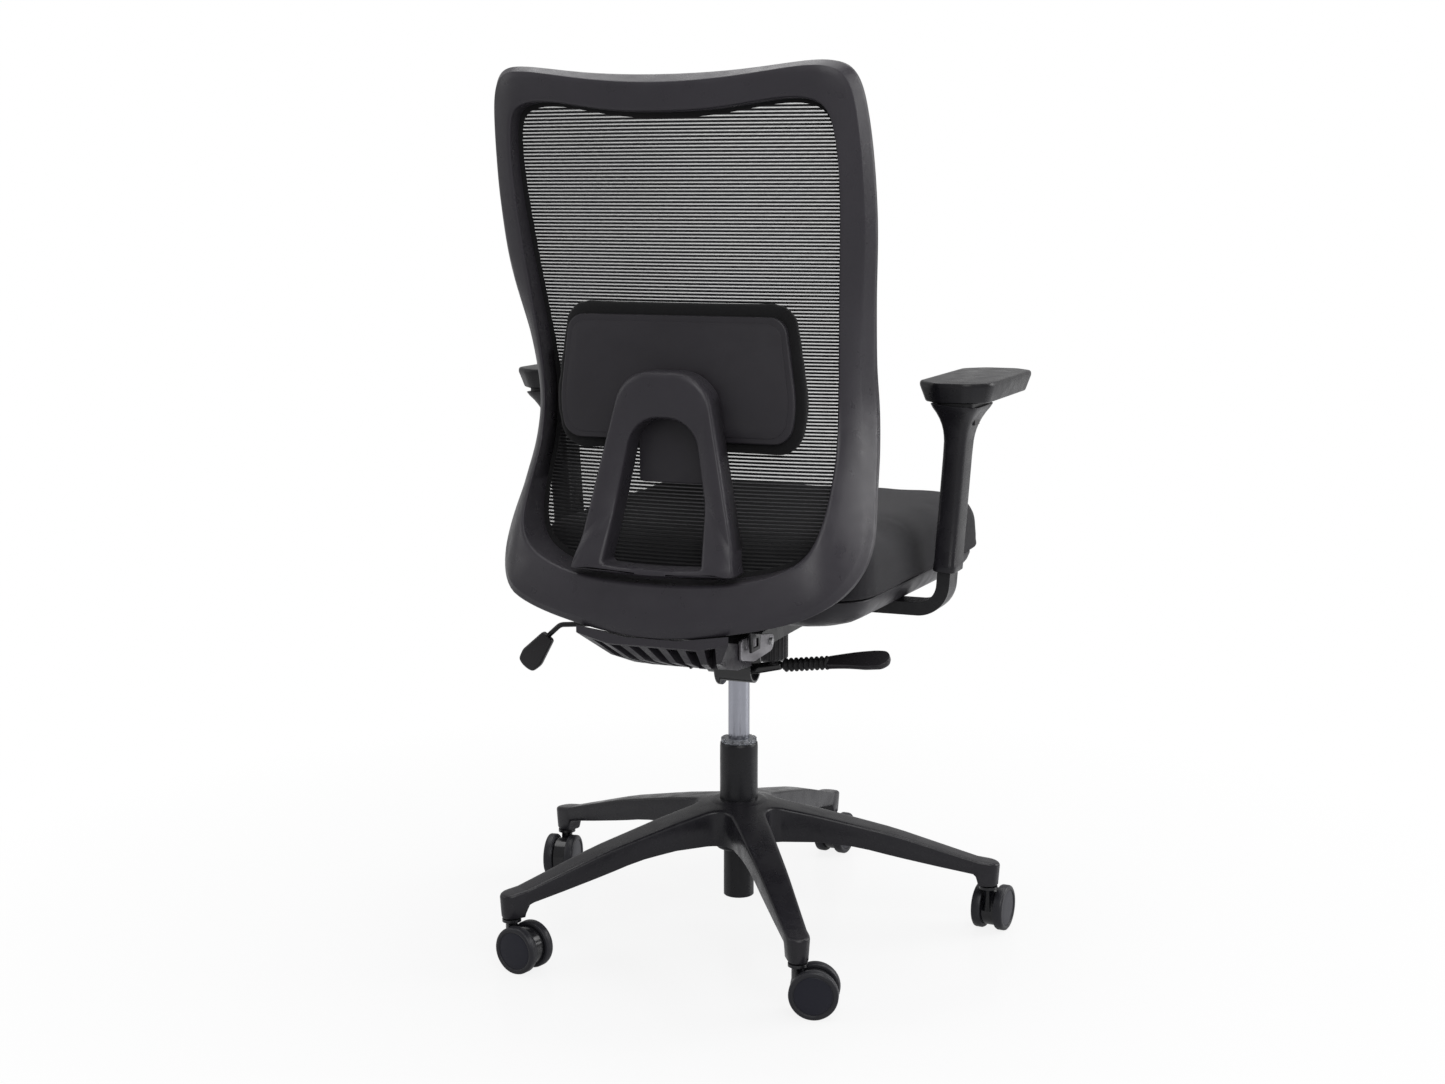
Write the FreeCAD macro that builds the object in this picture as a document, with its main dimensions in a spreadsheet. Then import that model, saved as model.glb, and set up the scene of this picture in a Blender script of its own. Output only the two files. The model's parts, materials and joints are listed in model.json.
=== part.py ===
import FreeCAD, Part
import math
import os

import Sketcher

# Swivel office chair with a mesh back, built as separate pieces.
# Millimetres. +Z is up and the sitter faces -Y, so +X is the sitter's left.
# The origin is on the floor, on the axis of the gas column.

Vector = FreeCAD.Vector
doc = FreeCAD.newDocument("swivel_office_chair")
sheet = doc.addObject("Spreadsheet::Sheet", "Sizes")

SIZES = {
    "Star base": {
        "leg_tip_radius": 345.0,
        "first_leg_angle": 51.4,
        "leg_tip_half_width": 14.5,
        "leg_hub_half_width": 24.0,
        "leg_tip_depth": 35.5,
        "leg_tip_top": "=socket_bottom + leg_tip_depth",
        "leg_tip_height": 20.0,
        "hub_top": 174.0,
        "hub_bottom": 116.0,
        "hub_radius": 40.0,
        "hub_collar_radius": 31.0,
        "hub_collar_height": 8.0,
        "caster_headroom": 4.0,
        "socket_bottom": "=2 * wheel_radius + caster_headroom",
        "socket_depth": 26.0,
    },
    "Casters": {
        "wheel_radius": 30.0,
        "wheel_width": 13.0,
        "wheel_gap": 17.0,
        "wheel_face_radius": "=wheel_radius - 6",
        "wheel_face_depth": 1.2,
        "caster_trail": 20.0,
        "hood_radius": "=wheel_radius - 5",
        "hood_side_gap": 0.4,
        "neck_radius": 7.6,
        "collar_radius": 12.0,
        "collar_height": 3.6,
        "stem_radius": 5.45,
        "axle_radius": 3.0,
        "running_gap": 0.05,
        "seat_gap": 0.3,
    },
    "Gas column": {
        "column_radius": 25.0,
        "column_foot_radius": 20.0,
        "column_top": 250.0,
        "column_bottom": 41.0,
        "column_wall": 3.5,
        "column_floor": 49.0,
        "column_floor_height": 4.0,
        "bush_length": 75.0,
        "bush_rim_height": 5.0,
        "bush_rim_radius": 23.5,
        "bush_notch_count": 12,
        "bush_notch_width": 3.0,
        "cylinder_radius": 14.0,
        "cylinder_bore": 11.5,
        "cylinder_bottom": 124.0,
        "cylinder_top": 385.0,
        "cylinder_cap": 12.0,
        "rod_radius": 5.0,
        "rod_head_top": 205.0,
        "rod_head_height": 10.0,
        "bearing_radius": 14.0,
        "bearing_ball_radius": 2.4,
        "bearing_ball_count": 9,
        "bearing_washer": 2.0,
        "valve_radius": 3.5,
        "valve_length": 16.0,
        "valve_stand": 5.0,
    },
    "Mechanism": {
        "housing_half_width": 50.0,
        "housing_wall": 4.0,
        "housing_bottom": 388.0,
        "housing_front": -145.0,
        "housing_rear": 66.0,
        "housing_front_top": 424.0,
        "housing_mid_top": 412.0,
        "housing_rear_top": 408.5,
        "column_socket_radius": 21.0,
        "column_socket_bottom": 346.0,
        "back_pivot_y": 45.0,
        "back_pivot_z": 398.0,
        "seat_pivot_y": -75.0,
        "seat_pivot_z": 410.0,
        "back_pin_radius": 5.0,
        "seat_pin_radius": 4.0,
        "link_pin_radius": 4.0,
        "link_pin_y": 120.0,
        "link_pin_z": 411.0,
        "link_slot_play": 5.0,
        "hinge_plate_inside": 56.5,
        "hinge_plate_wall": 4.0,
        "hinge_plate_eye": 13.0,
        "hinge_plate_rear": 148.0,
        "crossbar_radius": 20.5,
        "crossbar_wall": 3.0,
        "crossbar_y": 55.0,
        "crossbar_drop": 2.5,
        "crossbar_z": "=housing_bottom - crossbar_radius - crossbar_drop",
        "crossbar_length": 44.0,
        "crossbar_flange_radius": 24.0,
        "crossbar_flange_wall": 4.0,
        "crossbar_boss_radius": 11.0,
        "crossbar_boss_length": 15.0,
        "side_nut_radius": 8.5,
        "side_nut_length": 26.0,
        "knob_radius": 25.0,
        "knob_length": 46.0,
        "knob_y": -116.0,
        "knob_top": 383.0,
        "knob_rib_count": 24,
        "knob_rib_depth": 1.5,
        "knob_bolt_radius": 5.0,
        "spring_radius": 16.0,
        "spring_wire": 2.2,
        "spring_turns": 4,
    },
    "Levers": {
        "height_lever_radius": 7.5,
        "height_lever_reach": 76.0,
        "height_lever_pivot_x": 37.0,
        "height_lever_slope": 12.0,
        "height_lever_pin_radius": 2.5,
        "bellows_radius": 9.0,
        "bellows_length": 62.0,
        "bellows_rib_count": 9,
        "bellows_slope": 7.5,
        "paddle_length": 80.0,
        "paddle_width": 30.0,
        "paddle_wall": 9.0,
        "paddle_roll": 30.0,
        "tilt_rod_radius": 3.5,
        "tilt_rod_y": -20.0,
        "tilt_rod_z": 401.0,
        "tilt_rod_end": 269.0,
        "tilt_rod_bend": 16.0,
        "tilt_rod_drop": 16.0,
        "tilt_rod_dip": 18.0,
        "tilt_paddle_length": 58.0,
        "tilt_paddle_width": 34.0,
        "tilt_paddle_wall": 9.0,
    },
    "Seat": {
        "seat_plate_half_width": 85.0,
        "seat_plate_wall": 3.0,
        "seat_plate_bottom": 427.0,
        "seat_plate_front": -135.0,
        "seat_plate_rear": 140.0,
        "seat_lug_wall": 3.0,
        "seat_lug_inside": 66.0,
        "seat_half_width": 250.0,
        "seat_front": -325.0,
        "seat_rear": 183.0,
        "seat_corner": 62.0,
        "shell_rim": 478.0,
        "shell_rim_wall": 6.0,
        "cushion_top": 554.0,
        "seat_screw_radius": 4.0,
        "seat_screw_x": 75.0,
        "seat_screw_front_y": -105.0,
        "seat_screw_rear_y": 60.0,
    },
    "Back": {
        "back_band": 43.0,
        "back_top": 1113.5,
        "back_top_dip": 16.0,
        "back_top_band": 42.0,
        "back_corner_x": 194.0,
        "back_top_half_width": 242.3,
        "back_waist_half_width": 220.0,
        "back_waist_z": 720.0,
        "back_hip_half_width": 245.0,
        "back_hip_z": 560.0,
        "back_bottom": 437.4,
        "back_bottom_band": 70.0,
        "back_bottom_y": 266.0,
        "back_hip_y": 247.0,
        "back_waist_y": 175.7,
        "back_top_y": 257.0,
        "mesh_wall": 2.0,
        "mesh_set_back": 3.0,
        "bracket_front_y": 101.0,
        "bracket_front_half_width": 56.0,
        "bracket_front_bottom": 377.0,
        "bracket_front_top": 404.0,
        "bracket_rear_y": 288.0,
        "bracket_rear_half_width": 98.0,
        "bracket_rear_height": 9.0,
        "bracket_side_rise": 10.0,
        "bracket_slot_count": 7,
        "bracket_slot_width": 14.0,
    },
    "Lumbar support": {
        "arch_front": 220.0,
        "arch_wall": 34.0,
        "arch_top": 757.0,
        "arch_bottom": 500.0,
        "arch_foot_half_width": 101.0,
        "arch_foot_top": 534.0,
        "arch_head_half_width": 52.0,
        "arch_window_top": 700.5,
        "arch_window_bottom": 522.0,
        "arch_window_half_width": 62.7,
        "arch_corner": 32.0,
        "carrier_front": 204.0,
        "carrier_wall": 9.5,
        "carrier_top": 820.5,
        "carrier_bottom": 671.0,
        "carrier_top_half_width": 139.0,
        "carrier_bottom_half_width": 145.0,
        "tongue_bottom": 621.0,
        "tongue_half_width": 44.0,
        "tongue_wall": 6.0,
        "carrier_corner": 30.0,
        "carrier_waist_half_width": 152.0,
        "carrier_waist_z": 716.0,
        "lumbar_pad_half_width": 163.0,
        "lumbar_pad_top": 838.0,
        "lumbar_pad_bottom": 655.0,
        "lumbar_pad_front": 176.0,
        "lumbar_pad_corner": 42.0,
    },
    "Armrests": {
        "arm_bar_start": 125.0,
        "arm_bar_z": 438.0,
        "arm_bar_wall": 17.0,
        "arm_bar_width": 38.0,
        "arm_y": -52.0,
        "arm_elbow_radius": 34.0,
        "arm_clearance": 16.0,
        "arm_post_x": "=seat_half_width + arm_clearance",
        "arm_lean": 4.0,
        "arm_post_top": 622.0,
        "sleeve_bottom": 488.0,
        "sleeve_top": 699.0,
        "sleeve_wall": 5.5,
        "sleeve_slide_gap": 0.3,
        "sleeve_neck_z": 655.0,
        "sleeve_head_half_width": 29.0,
        "sleeve_head_half_length": 43.0,
        "pad_top": 730.0,
        "pad_wall": 24.0,
        "pad_half_width": 47.0,
        "pad_length": 250.0,
        "pad_rear_y": 2.0,
        "pad_corner": 26.0,
        "pad_bevel": 7.0,
        "button_half_length": 11.0,
        "button_height": 12.0,
        "button_depth": 8.0,
        "button_z": 682.0,
    },
}

# The trail of each caster points its own way, as they stand after the chair was pushed about.
CASTER_TRAIL_ANGLES = {
    "caster_trail_angle_one": 167.0,
    "caster_trail_angle_two": 195.0,
    "caster_trail_angle_three": 265.0,
    "caster_trail_angle_four": 265.0,
    "caster_trail_angle_five": 99.0,
}
SIZES["Caster directions"] = CASTER_TRAIL_ANGLES


def fill_sheet():
    """Write each size into the sheet with its name as alias, a few as formulas of others."""
    formulas = []
    row = 1
    for section, cells in SIZES.items():
        sheet.set("A%d" % row, section)
        row += 1
        for name, value in cells.items():
            sheet.set("A%d" % row, name.replace("_", " "))
            sheet.setAlias("B%d" % row, name)
            if isinstance(value, str):
                formulas.append(("B%d" % row, value))
            else:
                sheet.set("B%d" % row, str(value))
            row += 1
    doc.recompute()
    for cell, formula in formulas:
        sheet.set(cell, formula)
    doc.recompute()


fill_sheet()
NODES = []


def size(expression):
    """Number that an expression over the sheet's cells gives."""
    return float(sheet.evalExpression(str(expression)))


def read(*names):
    """Numbers in the named cells, for pieces whose shape is set from code."""
    return [size("Sizes." + name) for name in names]


def bind(item, **properties):
    """Tie properties of an object to expressions over the sheet's cells."""
    for name, expression in properties.items():
        item.setExpression(name.replace("__", "."), expression)
    return item


def node(item, name):
    """Name a finished sub-part and list it for writing."""
    item.Label = name
    NODES.append(item)
    return item


def origin_plane(body, role):
    """Origin plane of a body, by its role."""
    return [f for f in body.Origin.OriginFeatures if f.Role == role][0]


def new_body(name):
    """Empty PartDesign body."""
    return doc.addObject("PartDesign::Body", name)


def new_sketch(body, role, lift=None):
    """Sketch on an origin plane of the body, moved along the plane's normal by lift."""
    sketch = body.newObject("Sketcher::SketchObject", body.Name + "_sketch")
    sketch.AttachmentSupport = [(origin_plane(body, role), "")]
    sketch.MapMode = "FlatFace"
    if lift is not None:
        sketch.setExpression("AttachmentOffset.Base.z", lift)
    return sketch


def fix_point(sketch, geometry, corner, x, y):
    """Hold a point of a sketch at two distances from the sketch's origin."""
    for kind, expression in (("DistanceX", x), ("DistanceY", y)):
        held = Sketcher.Constraint(kind, -1, 1, geometry, corner, size(expression))
        sketch.setExpression("Constraints[%d]" % sketch.addConstraint(held), expression)


def polygon(body, role, corners, lift=None):
    """Closed sketch of straight lines through corners given as pairs of expressions."""
    sketch = new_sketch(body, role, lift)
    spots = [Vector(size(x), size(y), 0) for x, y in corners]
    count = len(spots)
    for i in range(count):
        sketch.addGeometry(Part.LineSegment(spots[i], spots[(i + 1) % count]), False)
    for i in range(count):
        sketch.addConstraint(Sketcher.Constraint("Coincident", i, 2, (i + 1) % count, 1))
    for i, (x, y) in enumerate(corners):
        fix_point(sketch, i, 1, x, y)
    return sketch


def rectangle(body, role, low, high, lift=None):
    """Rectangle sketch between two opposite corners."""
    corners = [(low[0], low[1]), (high[0], low[1]), (high[0], high[1]), (low[0], high[1])]
    return polygon(body, role, corners, lift)


def circles(body, role, rings, lift=None):
    """Sketch of circles, each given as centre x, centre y and radius."""
    sketch = new_sketch(body, role, lift)
    for i, (x, y, radius) in enumerate(rings):
        centre = Vector(size(x), size(y), 0)
        sketch.addGeometry(Part.Circle(centre, Vector(0, 0, 1), size(radius)), False)
        fix_point(sketch, i, 3, x, y)
        held = Sketcher.Constraint("Radius", i, size(radius))
        sketch.setExpression("Constraints[%d]" % sketch.addConstraint(held), radius)
    return sketch


def pad(body, sketch, length, symmetric=False, backwards=False):
    """Pad a sketch by a length, to one side or to both."""
    feature = body.newObject("PartDesign::Pad", body.Name + "_pad")
    feature.Profile = sketch
    feature.SideType = "Symmetric" if symmetric else "One side"
    feature.Reversed = backwards
    return bind(feature, Length=length)


def pocket(body, sketch, length, symmetric=False, backwards=False):
    """Cut a sketch into the body by a length, to one side or to both."""
    feature = body.newObject("PartDesign::Pocket", body.Name + "_pocket")
    feature.Profile = sketch
    feature.SideType = "Symmetric" if symmetric else "One side"
    feature.Reversed = backwards
    return bind(feature, Length=length)


def revolve(body, corners, role="XZ_Plane", axis="V_Axis"):
    """Turn a closed outline about a sketch axis by a full turn."""
    feature = body.newObject("PartDesign::Revolution", body.Name + "_turn")
    sketch = polygon(body, role, corners)
    feature.Profile = sketch
    feature.ReferenceAxis = (sketch, [axis])
    feature.Angle = 360
    return feature


def ring_of(body, features, count):
    """Repeat features of a body evenly about its Z axis."""
    pattern = body.newObject("PartDesign::PolarPattern", body.Name + "_ring")
    pattern.Originals = features
    pattern.Axis = (origin_plane(body, "Z_Axis"), [""])
    pattern.Angle = 360
    bind(pattern, Occurrences=count)
    body.Tip = pattern
    return pattern


def cylinder(name, radius, length, at, axis=Vector(0, 0, 1)):
    """Part cylinder from a point along an axis."""
    item = bind(doc.addObject("Part::Cylinder", name), Radius=radius, Height=length)
    item.Placement = FreeCAD.Placement(Vector(), FreeCAD.Rotation(Vector(0, 0, 1), axis))
    return bind(item, Placement__Base__x=at[0], Placement__Base__y=at[1], Placement__Base__z=at[2])


def cut(name, base, tool):
    """First solid less the second."""
    item = doc.addObject("Part::Cut", name)
    item.Base = base
    item.Tool = tool
    return item


def fuse(name, items):
    """Several overlapping solids made one."""
    item = doc.addObject("Part::MultiFuse", name)
    item.Shapes = items
    return item


def group(name, items):
    """Separate solids kept as one node."""
    item = doc.addObject("Part::Compound", name)
    item.Links = items
    return item


def shaped(name, shape):
    """Node whose shape was worked out from the sheet's sizes in code."""
    item = doc.addObject("Part::Feature", name)
    item.Shape = shape
    return node(item, name)


def closed_face(points):
    """Flat face inside straight lines through the points."""
    return Part.Face(Part.makePolygon(points + [points[0]]))


def bent_bar(points, bend_radius, section):
    """Sweep a section along straight runs that are joined by tangent arcs.

    The section is a face that stands across the first run at its start.
    """
    edges = []
    start = points[0]
    for before, corner, after in zip(points, points[1:], points[2:]):
        inward = (before - corner).normalize()
        outward = (after - corner).normalize()
        half_turn = (math.pi - inward.getAngle(outward)) / 2
        reach = bend_radius * math.tan(half_turn)
        enter = corner + inward * reach
        leave = corner + outward * reach
        middle = (inward + outward).normalize()
        arc_mid = corner + middle * (bend_radius / math.cos(half_turn) - bend_radius)
        edges.append(Part.LineSegment(start, enter).toShape())
        edges.append(Part.Arc(enter, arc_mid, leave).toShape())
        start = leave
    edges.append(Part.LineSegment(start, points[-1]).toShape())
    return Part.Wire(edges).makePipeShell([section.OuterWire], True, False)


# ---------------------------------------------------------------- star base

def build_star_base():
    """Five-legged base with its hub bore and caster sockets."""
    body = new_body("star_base")
    revolve(body, [
        ("Sizes.column_radius", "Sizes.hub_top"),
        ("Sizes.column_foot_radius", "Sizes.hub_bottom - Sizes.hub_collar_height"),
        ("Sizes.hub_collar_radius", "Sizes.hub_bottom - Sizes.hub_collar_height"),
        ("Sizes.hub_collar_radius", "Sizes.hub_bottom"),
        ("Sizes.hub_radius", "Sizes.hub_bottom"),
        ("Sizes.hub_radius", "Sizes.hub_top - 8"),
        ("Sizes.column_radius + 6", "Sizes.hub_top"),
    ])
    root = "(Sizes.column_radius + 4)"
    span = "(Sizes.leg_tip_radius - 2 * Sizes.leg_tip_half_width)"
    drop = "(Sizes.hub_top - Sizes.leg_tip_top)"
    stations = []
    for share, bulge, height in ((0.0, 2, 53), (0.28, 5, 37), (0.62, 6.5, 31), (1.0, 0, 20)):
        reach = "%s + %g * (%s - %s)" % (root, share, span, root)
        top = "Sizes.hub_top - 2 - %g * (%s - 2.6) + %g" % (share, drop, bulge)
        under = "%s - %g - (Sizes.leg_tip_height - 20)" % (top, height)
        taper = "(Sizes.leg_tip_half_width - Sizes.leg_hub_half_width)"
        wide = "Sizes.leg_hub_half_width + %g * %s" % (share, taper)
        narrow = "0.86 * (%s)" % wide
        stations.append(polygon(body, "YZ_Plane", [
            ("-(%s)" % wide, top),
            (wide, top),
            (narrow, under),
            ("-(%s)" % narrow, under),
        ], lift=reach))
    leg = body.newObject("PartDesign::AdditiveLoft", "star_leg")
    leg.Profile = stations[0]
    leg.Sections = stations[1:]
    socket_x = "Sizes.leg_tip_radius - Sizes.leg_tip_half_width"
    boss_sketch = circles(
        body, "XY_Plane", [(socket_x, "0", "Sizes.leg_tip_half_width")], lift="Sizes.socket_bottom"
    )
    boss = pad(body, boss_sketch, "Sizes.leg_tip_top - Sizes.socket_bottom")
    neck_sketch = rectangle(
        body, "XY_Plane",
        ("Sizes.leg_tip_radius - 2 * Sizes.leg_tip_half_width - 3", "-Sizes.leg_tip_half_width"),
        (socket_x, "Sizes.leg_tip_half_width"),
        lift="Sizes.socket_bottom",
    )
    neck = pad(body, neck_sketch, "Sizes.leg_tip_top - Sizes.socket_bottom")
    bore_sketch = circles(
        body,
        "XY_Plane",
        [(socket_x, "0", "Sizes.stem_radius + Sizes.running_gap")],
        lift="Sizes.socket_bottom",
    )
    bore = pocket(body, bore_sketch, "Sizes.socket_depth", backwards=True)
    ring_of(body, [leg, boss, neck, bore], "5")
    body.Placement = FreeCAD.Placement(
        Vector(), FreeCAD.Rotation(Vector(0, 0, 1), size("Sizes.first_leg_angle"))
    )
    return node(body, "star_base")


# ---------------------------------------------------------------- casters

def caster_place(leg_angle, trail_alias):
    """Place of a caster's stem axis on the floor, turned to its trail."""
    radius, tip, first, trail = read("leg_tip_radius", "leg_tip_half_width", "first_leg_angle", trail_alias)
    turn = math.radians(first + leg_angle)
    spot = Vector((radius - tip) * math.cos(turn), (radius - tip) * math.sin(turn), 0)
    return FreeCAD.Placement(spot, FreeCAD.Rotation(Vector(0, 0, 1), trail))


def build_caster_housing(name):
    """Hood between the wheels with its neck, its collar and the bores for stem and axle."""
    body = new_body(name)
    hood = circles(body, "XZ_Plane", [("Sizes.caster_trail", "Sizes.wheel_radius", "Sizes.hood_radius")])
    pad(body, hood, "Sizes.wheel_gap - 2 * Sizes.hood_side_gap", symmetric=True)
    collar_bottom = "Sizes.socket_bottom - Sizes.seat_gap - Sizes.collar_height"
    neck = circles(body, "XY_Plane", [("0", "0", "Sizes.neck_radius")], lift="Sizes.wheel_radius")
    pad(body, neck, "(%s) - Sizes.wheel_radius" % collar_bottom)
    collar = circles(body, "XY_Plane", [("0", "0", "Sizes.collar_radius")], lift=collar_bottom)
    pad(body, collar, "Sizes.collar_height")
    stem = circles(
        body, "XY_Plane", [("0", "0", "Sizes.stem_radius + 0.02")], lift="Sizes.wheel_radius + 8"
    )
    pocket(body, stem, "Sizes.socket_bottom", backwards=True)
    axle = circles(
        body, "XZ_Plane", [("Sizes.caster_trail", "Sizes.wheel_radius", "Sizes.axle_radius + 0.02")]
    )
    pocket(body, axle, "2 * Sizes.wheel_gap", symmetric=True)
    return body


def build_caster_pins(name):
    """Steel stem and axle of one caster."""
    stem = cylinder(
        name + "_stem", "Sizes.stem_radius",
        "Sizes.socket_bottom + Sizes.socket_depth - 2 - Sizes.wheel_radius - 8",
        ("0", "0", "Sizes.wheel_radius + 8"),
    )
    half = "(Sizes.wheel_gap / 2 + Sizes.wheel_width - 4)"
    axle = cylinder(
        name + "_axle", "Sizes.axle_radius", "2 * " + half,
        ("Sizes.caster_trail", "-" + half, "Sizes.wheel_radius"), Vector(0, 1, 0),
    )
    return group(name, [stem, axle])


def build_wheel(name, side):
    """Wheel with a rounded tread, a raised outer ring and a blind axle bore."""
    body = new_body(name)
    inner = "%d * Sizes.wheel_gap / 2" % side
    outer = "%d * (Sizes.wheel_gap / 2 + Sizes.wheel_width)" % side
    floor = "%d * (Sizes.wheel_gap / 2 + Sizes.wheel_width - 3.5)" % side
    bore = "Sizes.axle_radius + Sizes.running_gap"
    corners = [
        (inner, bore),
        (inner, "Sizes.wheel_radius - 2.5"),
        ("%s + %d * 2.5" % (inner, side), "Sizes.wheel_radius"),
        ("%s - %d * 3" % (outer, side), "Sizes.wheel_radius"),
        (outer, "Sizes.wheel_radius - 3"),
        (outer, "Sizes.wheel_face_radius"),
        ("%s - %d * Sizes.wheel_face_depth" % (outer, side), "Sizes.wheel_face_radius - 1"),
        ("%s - %d * Sizes.wheel_face_depth" % (outer, side), "0"),
        (floor, "0"),
        (floor, bore),
    ]
    revolve(body, corners, role="YZ_Plane", axis="H_Axis")
    return body


def build_casters():
    """Five twin-wheel casters, one under each leg."""
    for i, alias in enumerate(CASTER_TRAIL_ANGLES):
        number = i + 1
        place = caster_place(72.0 * i, alias)
        trail, radius = read("caster_trail", "wheel_radius")
        hub = place.multiply(FreeCAD.Placement(Vector(trail, 0, radius), FreeCAD.Rotation()))
        pieces = {
            "housing": (build_caster_housing("caster_%d_housing" % number), place),
            "pins": (build_caster_pins("caster_%d_pins" % number), place),
            "wheel_left": (build_wheel("caster_%d_wheel_left" % number, 1), hub),
            "wheel_right": (build_wheel("caster_%d_wheel_right" % number, -1), hub),
        }
        for part, (item, spot) in pieces.items():
            item.Placement = spot
            node(item, "caster_%d_%s" % (number, part))


# ---------------------------------------------------------------- gas column

def build_column():
    """Outer tube, guide bush, thrust bearing, clip, rod, cylinder and valve pin."""
    tube = new_body("column_tube")
    taper_foot = "Sizes.hub_bottom - Sizes.hub_collar_height"
    revolve(tube, [
        ("Sizes.rod_radius + 0.2", "Sizes.column_floor"),
        ("Sizes.column_foot_radius - Sizes.column_wall", "Sizes.column_floor"),
        ("Sizes.column_foot_radius - Sizes.column_wall", "Sizes.column_top - Sizes.bush_length - 14"),
        ("Sizes.column_radius - Sizes.column_wall", "Sizes.column_top - Sizes.bush_length"),
        ("Sizes.column_radius - Sizes.column_wall", "Sizes.column_top"),
        ("Sizes.column_radius", "Sizes.column_top"),
        ("Sizes.column_radius", "Sizes.hub_top"),
        ("Sizes.column_foot_radius", taper_foot),
        ("Sizes.column_foot_radius", "Sizes.column_bottom"),
        ("Sizes.column_foot_radius - Sizes.column_wall", "Sizes.column_bottom"),
        ("Sizes.column_foot_radius - Sizes.column_wall", "Sizes.column_floor - Sizes.column_floor_height"),
        ("Sizes.rod_radius + 0.2", "Sizes.column_floor - Sizes.column_floor_height"),
    ])
    node(tube, "column_tube")

    bush = new_body("column_bush")
    revolve(bush, [
        ("Sizes.cylinder_radius + Sizes.running_gap", "Sizes.column_top - Sizes.bush_length"),
        ("Sizes.column_radius - Sizes.column_wall - 0.02", "Sizes.column_top - Sizes.bush_length"),
        ("Sizes.column_radius - Sizes.column_wall - 0.02", "Sizes.column_top"),
        ("Sizes.bush_rim_radius", "Sizes.column_top"),
        ("Sizes.bush_rim_radius", "Sizes.column_top + Sizes.bush_rim_height"),
        ("Sizes.cylinder_radius + Sizes.running_gap", "Sizes.column_top + Sizes.bush_rim_height"),
    ])
    notch_sketch = rectangle(
        bush, "XY_Plane",
        ("Sizes.bush_rim_radius - 4", "-Sizes.bush_notch_width / 2"),
        ("Sizes.bush_rim_radius + 2", "Sizes.bush_notch_width / 2"),
        lift="Sizes.column_top + Sizes.bush_rim_height",
    )
    notch = pocket(bush, notch_sketch, "Sizes.bush_rim_height - 1.5")
    ring_of(bush, [notch], "Sizes.bush_notch_count")
    node(bush, "column_bush")

    lower_top = "(Sizes.column_floor + Sizes.bearing_washer)"
    upper_bottom = "(%s + 2 * Sizes.bearing_ball_radius + 0.1)" % lower_top
    washers = []
    for part, base in (("lower", "Sizes.column_floor"), ("upper", upper_bottom)):
        disc = cylinder("washer_" + part, "Sizes.bearing_radius", "Sizes.bearing_washer", ("0", "0", base))
        hole = cylinder(
            "washer_hole_" + part, "Sizes.rod_radius + 0.3", "Sizes.bearing_washer", ("0", "0", base)
        )
        washers.append(cut("washer_ring_" + part, disc, hole))
    balls = []
    count = int(size("Sizes.bearing_ball_count"))
    for i in range(count):
        ball = bind(doc.addObject("Part::Sphere", "bearing_ball"), Radius="Sizes.bearing_ball_radius")
        around = "(Sizes.bearing_radius * 0.7) * %s(%g * 1 deg)"
        turn = 360.0 * i / count
        bind(
            ball,
            Placement__Base__x=around % ("cos", turn),
            Placement__Base__y=around % ("sin", turn),
            Placement__Base__z="%s + Sizes.bearing_ball_radius + 0.05" % lower_top,
        )
        balls.append(ball)
    node(group("thrust_bearing", washers + balls), "thrust_bearing")

    clip_bottom = "Sizes.column_floor - Sizes.column_floor_height - 2.2"
    clip_disc = cylinder("clip_disc", "Sizes.rod_radius + 4", "2", ("0", "0", clip_bottom))
    clip_hole = cylinder("clip_hole", "Sizes.rod_radius - 0.98", "2", ("0", "0", clip_bottom))
    node(cut("column_clip", clip_disc, clip_hole), "column_clip")

    rod = new_body("piston_rod")
    shoulder = "%s + Sizes.bearing_washer + 0.05" % upper_bottom
    head_bottom = "Sizes.rod_head_top - Sizes.rod_head_height"
    revolve(rod, [
        ("0", "Sizes.column_bottom + 1"),
        ("Sizes.rod_radius", "Sizes.column_bottom + 1"),
        ("Sizes.rod_radius", clip_bottom),
        ("Sizes.rod_radius - 1", clip_bottom),
        ("Sizes.rod_radius - 1", clip_bottom + " + 2"),
        ("Sizes.rod_radius", clip_bottom + " + 2"),
        ("Sizes.rod_radius", shoulder),
        ("Sizes.rod_radius + 4", shoulder),
        ("Sizes.rod_radius + 4", shoulder + " + 4"),
        ("Sizes.rod_radius", shoulder + " + 4"),
        ("Sizes.rod_radius", head_bottom),
        ("Sizes.cylinder_bore - Sizes.running_gap", head_bottom),
        ("Sizes.cylinder_bore - Sizes.running_gap", "Sizes.rod_head_top"),
        ("0", "Sizes.rod_head_top"),
    ])
    node(rod, "piston_rod")

    gas = new_body("gas_cylinder")
    valve_bore = "Sizes.valve_radius + Sizes.running_gap"
    valve_floor = "Sizes.cylinder_top + Sizes.valve_stand - Sizes.valve_length - 5"
    revolve(gas, [
        ("Sizes.rod_radius + Sizes.running_gap", "Sizes.cylinder_bottom"),
        ("Sizes.cylinder_radius", "Sizes.cylinder_bottom"),
        ("Sizes.cylinder_radius", "Sizes.cylinder_top"),
        (valve_bore, "Sizes.cylinder_top"),
        (valve_bore, valve_floor),
        ("0", valve_floor),
        ("0", "Sizes.column_socket_bottom"),
        ("Sizes.cylinder_bore", "Sizes.column_socket_bottom"),
        ("Sizes.cylinder_bore", "Sizes.cylinder_bottom + Sizes.cylinder_cap"),
        ("Sizes.rod_radius + Sizes.running_gap", "Sizes.cylinder_bottom + Sizes.cylinder_cap"),
    ])
    node(gas, "gas_cylinder")

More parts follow.
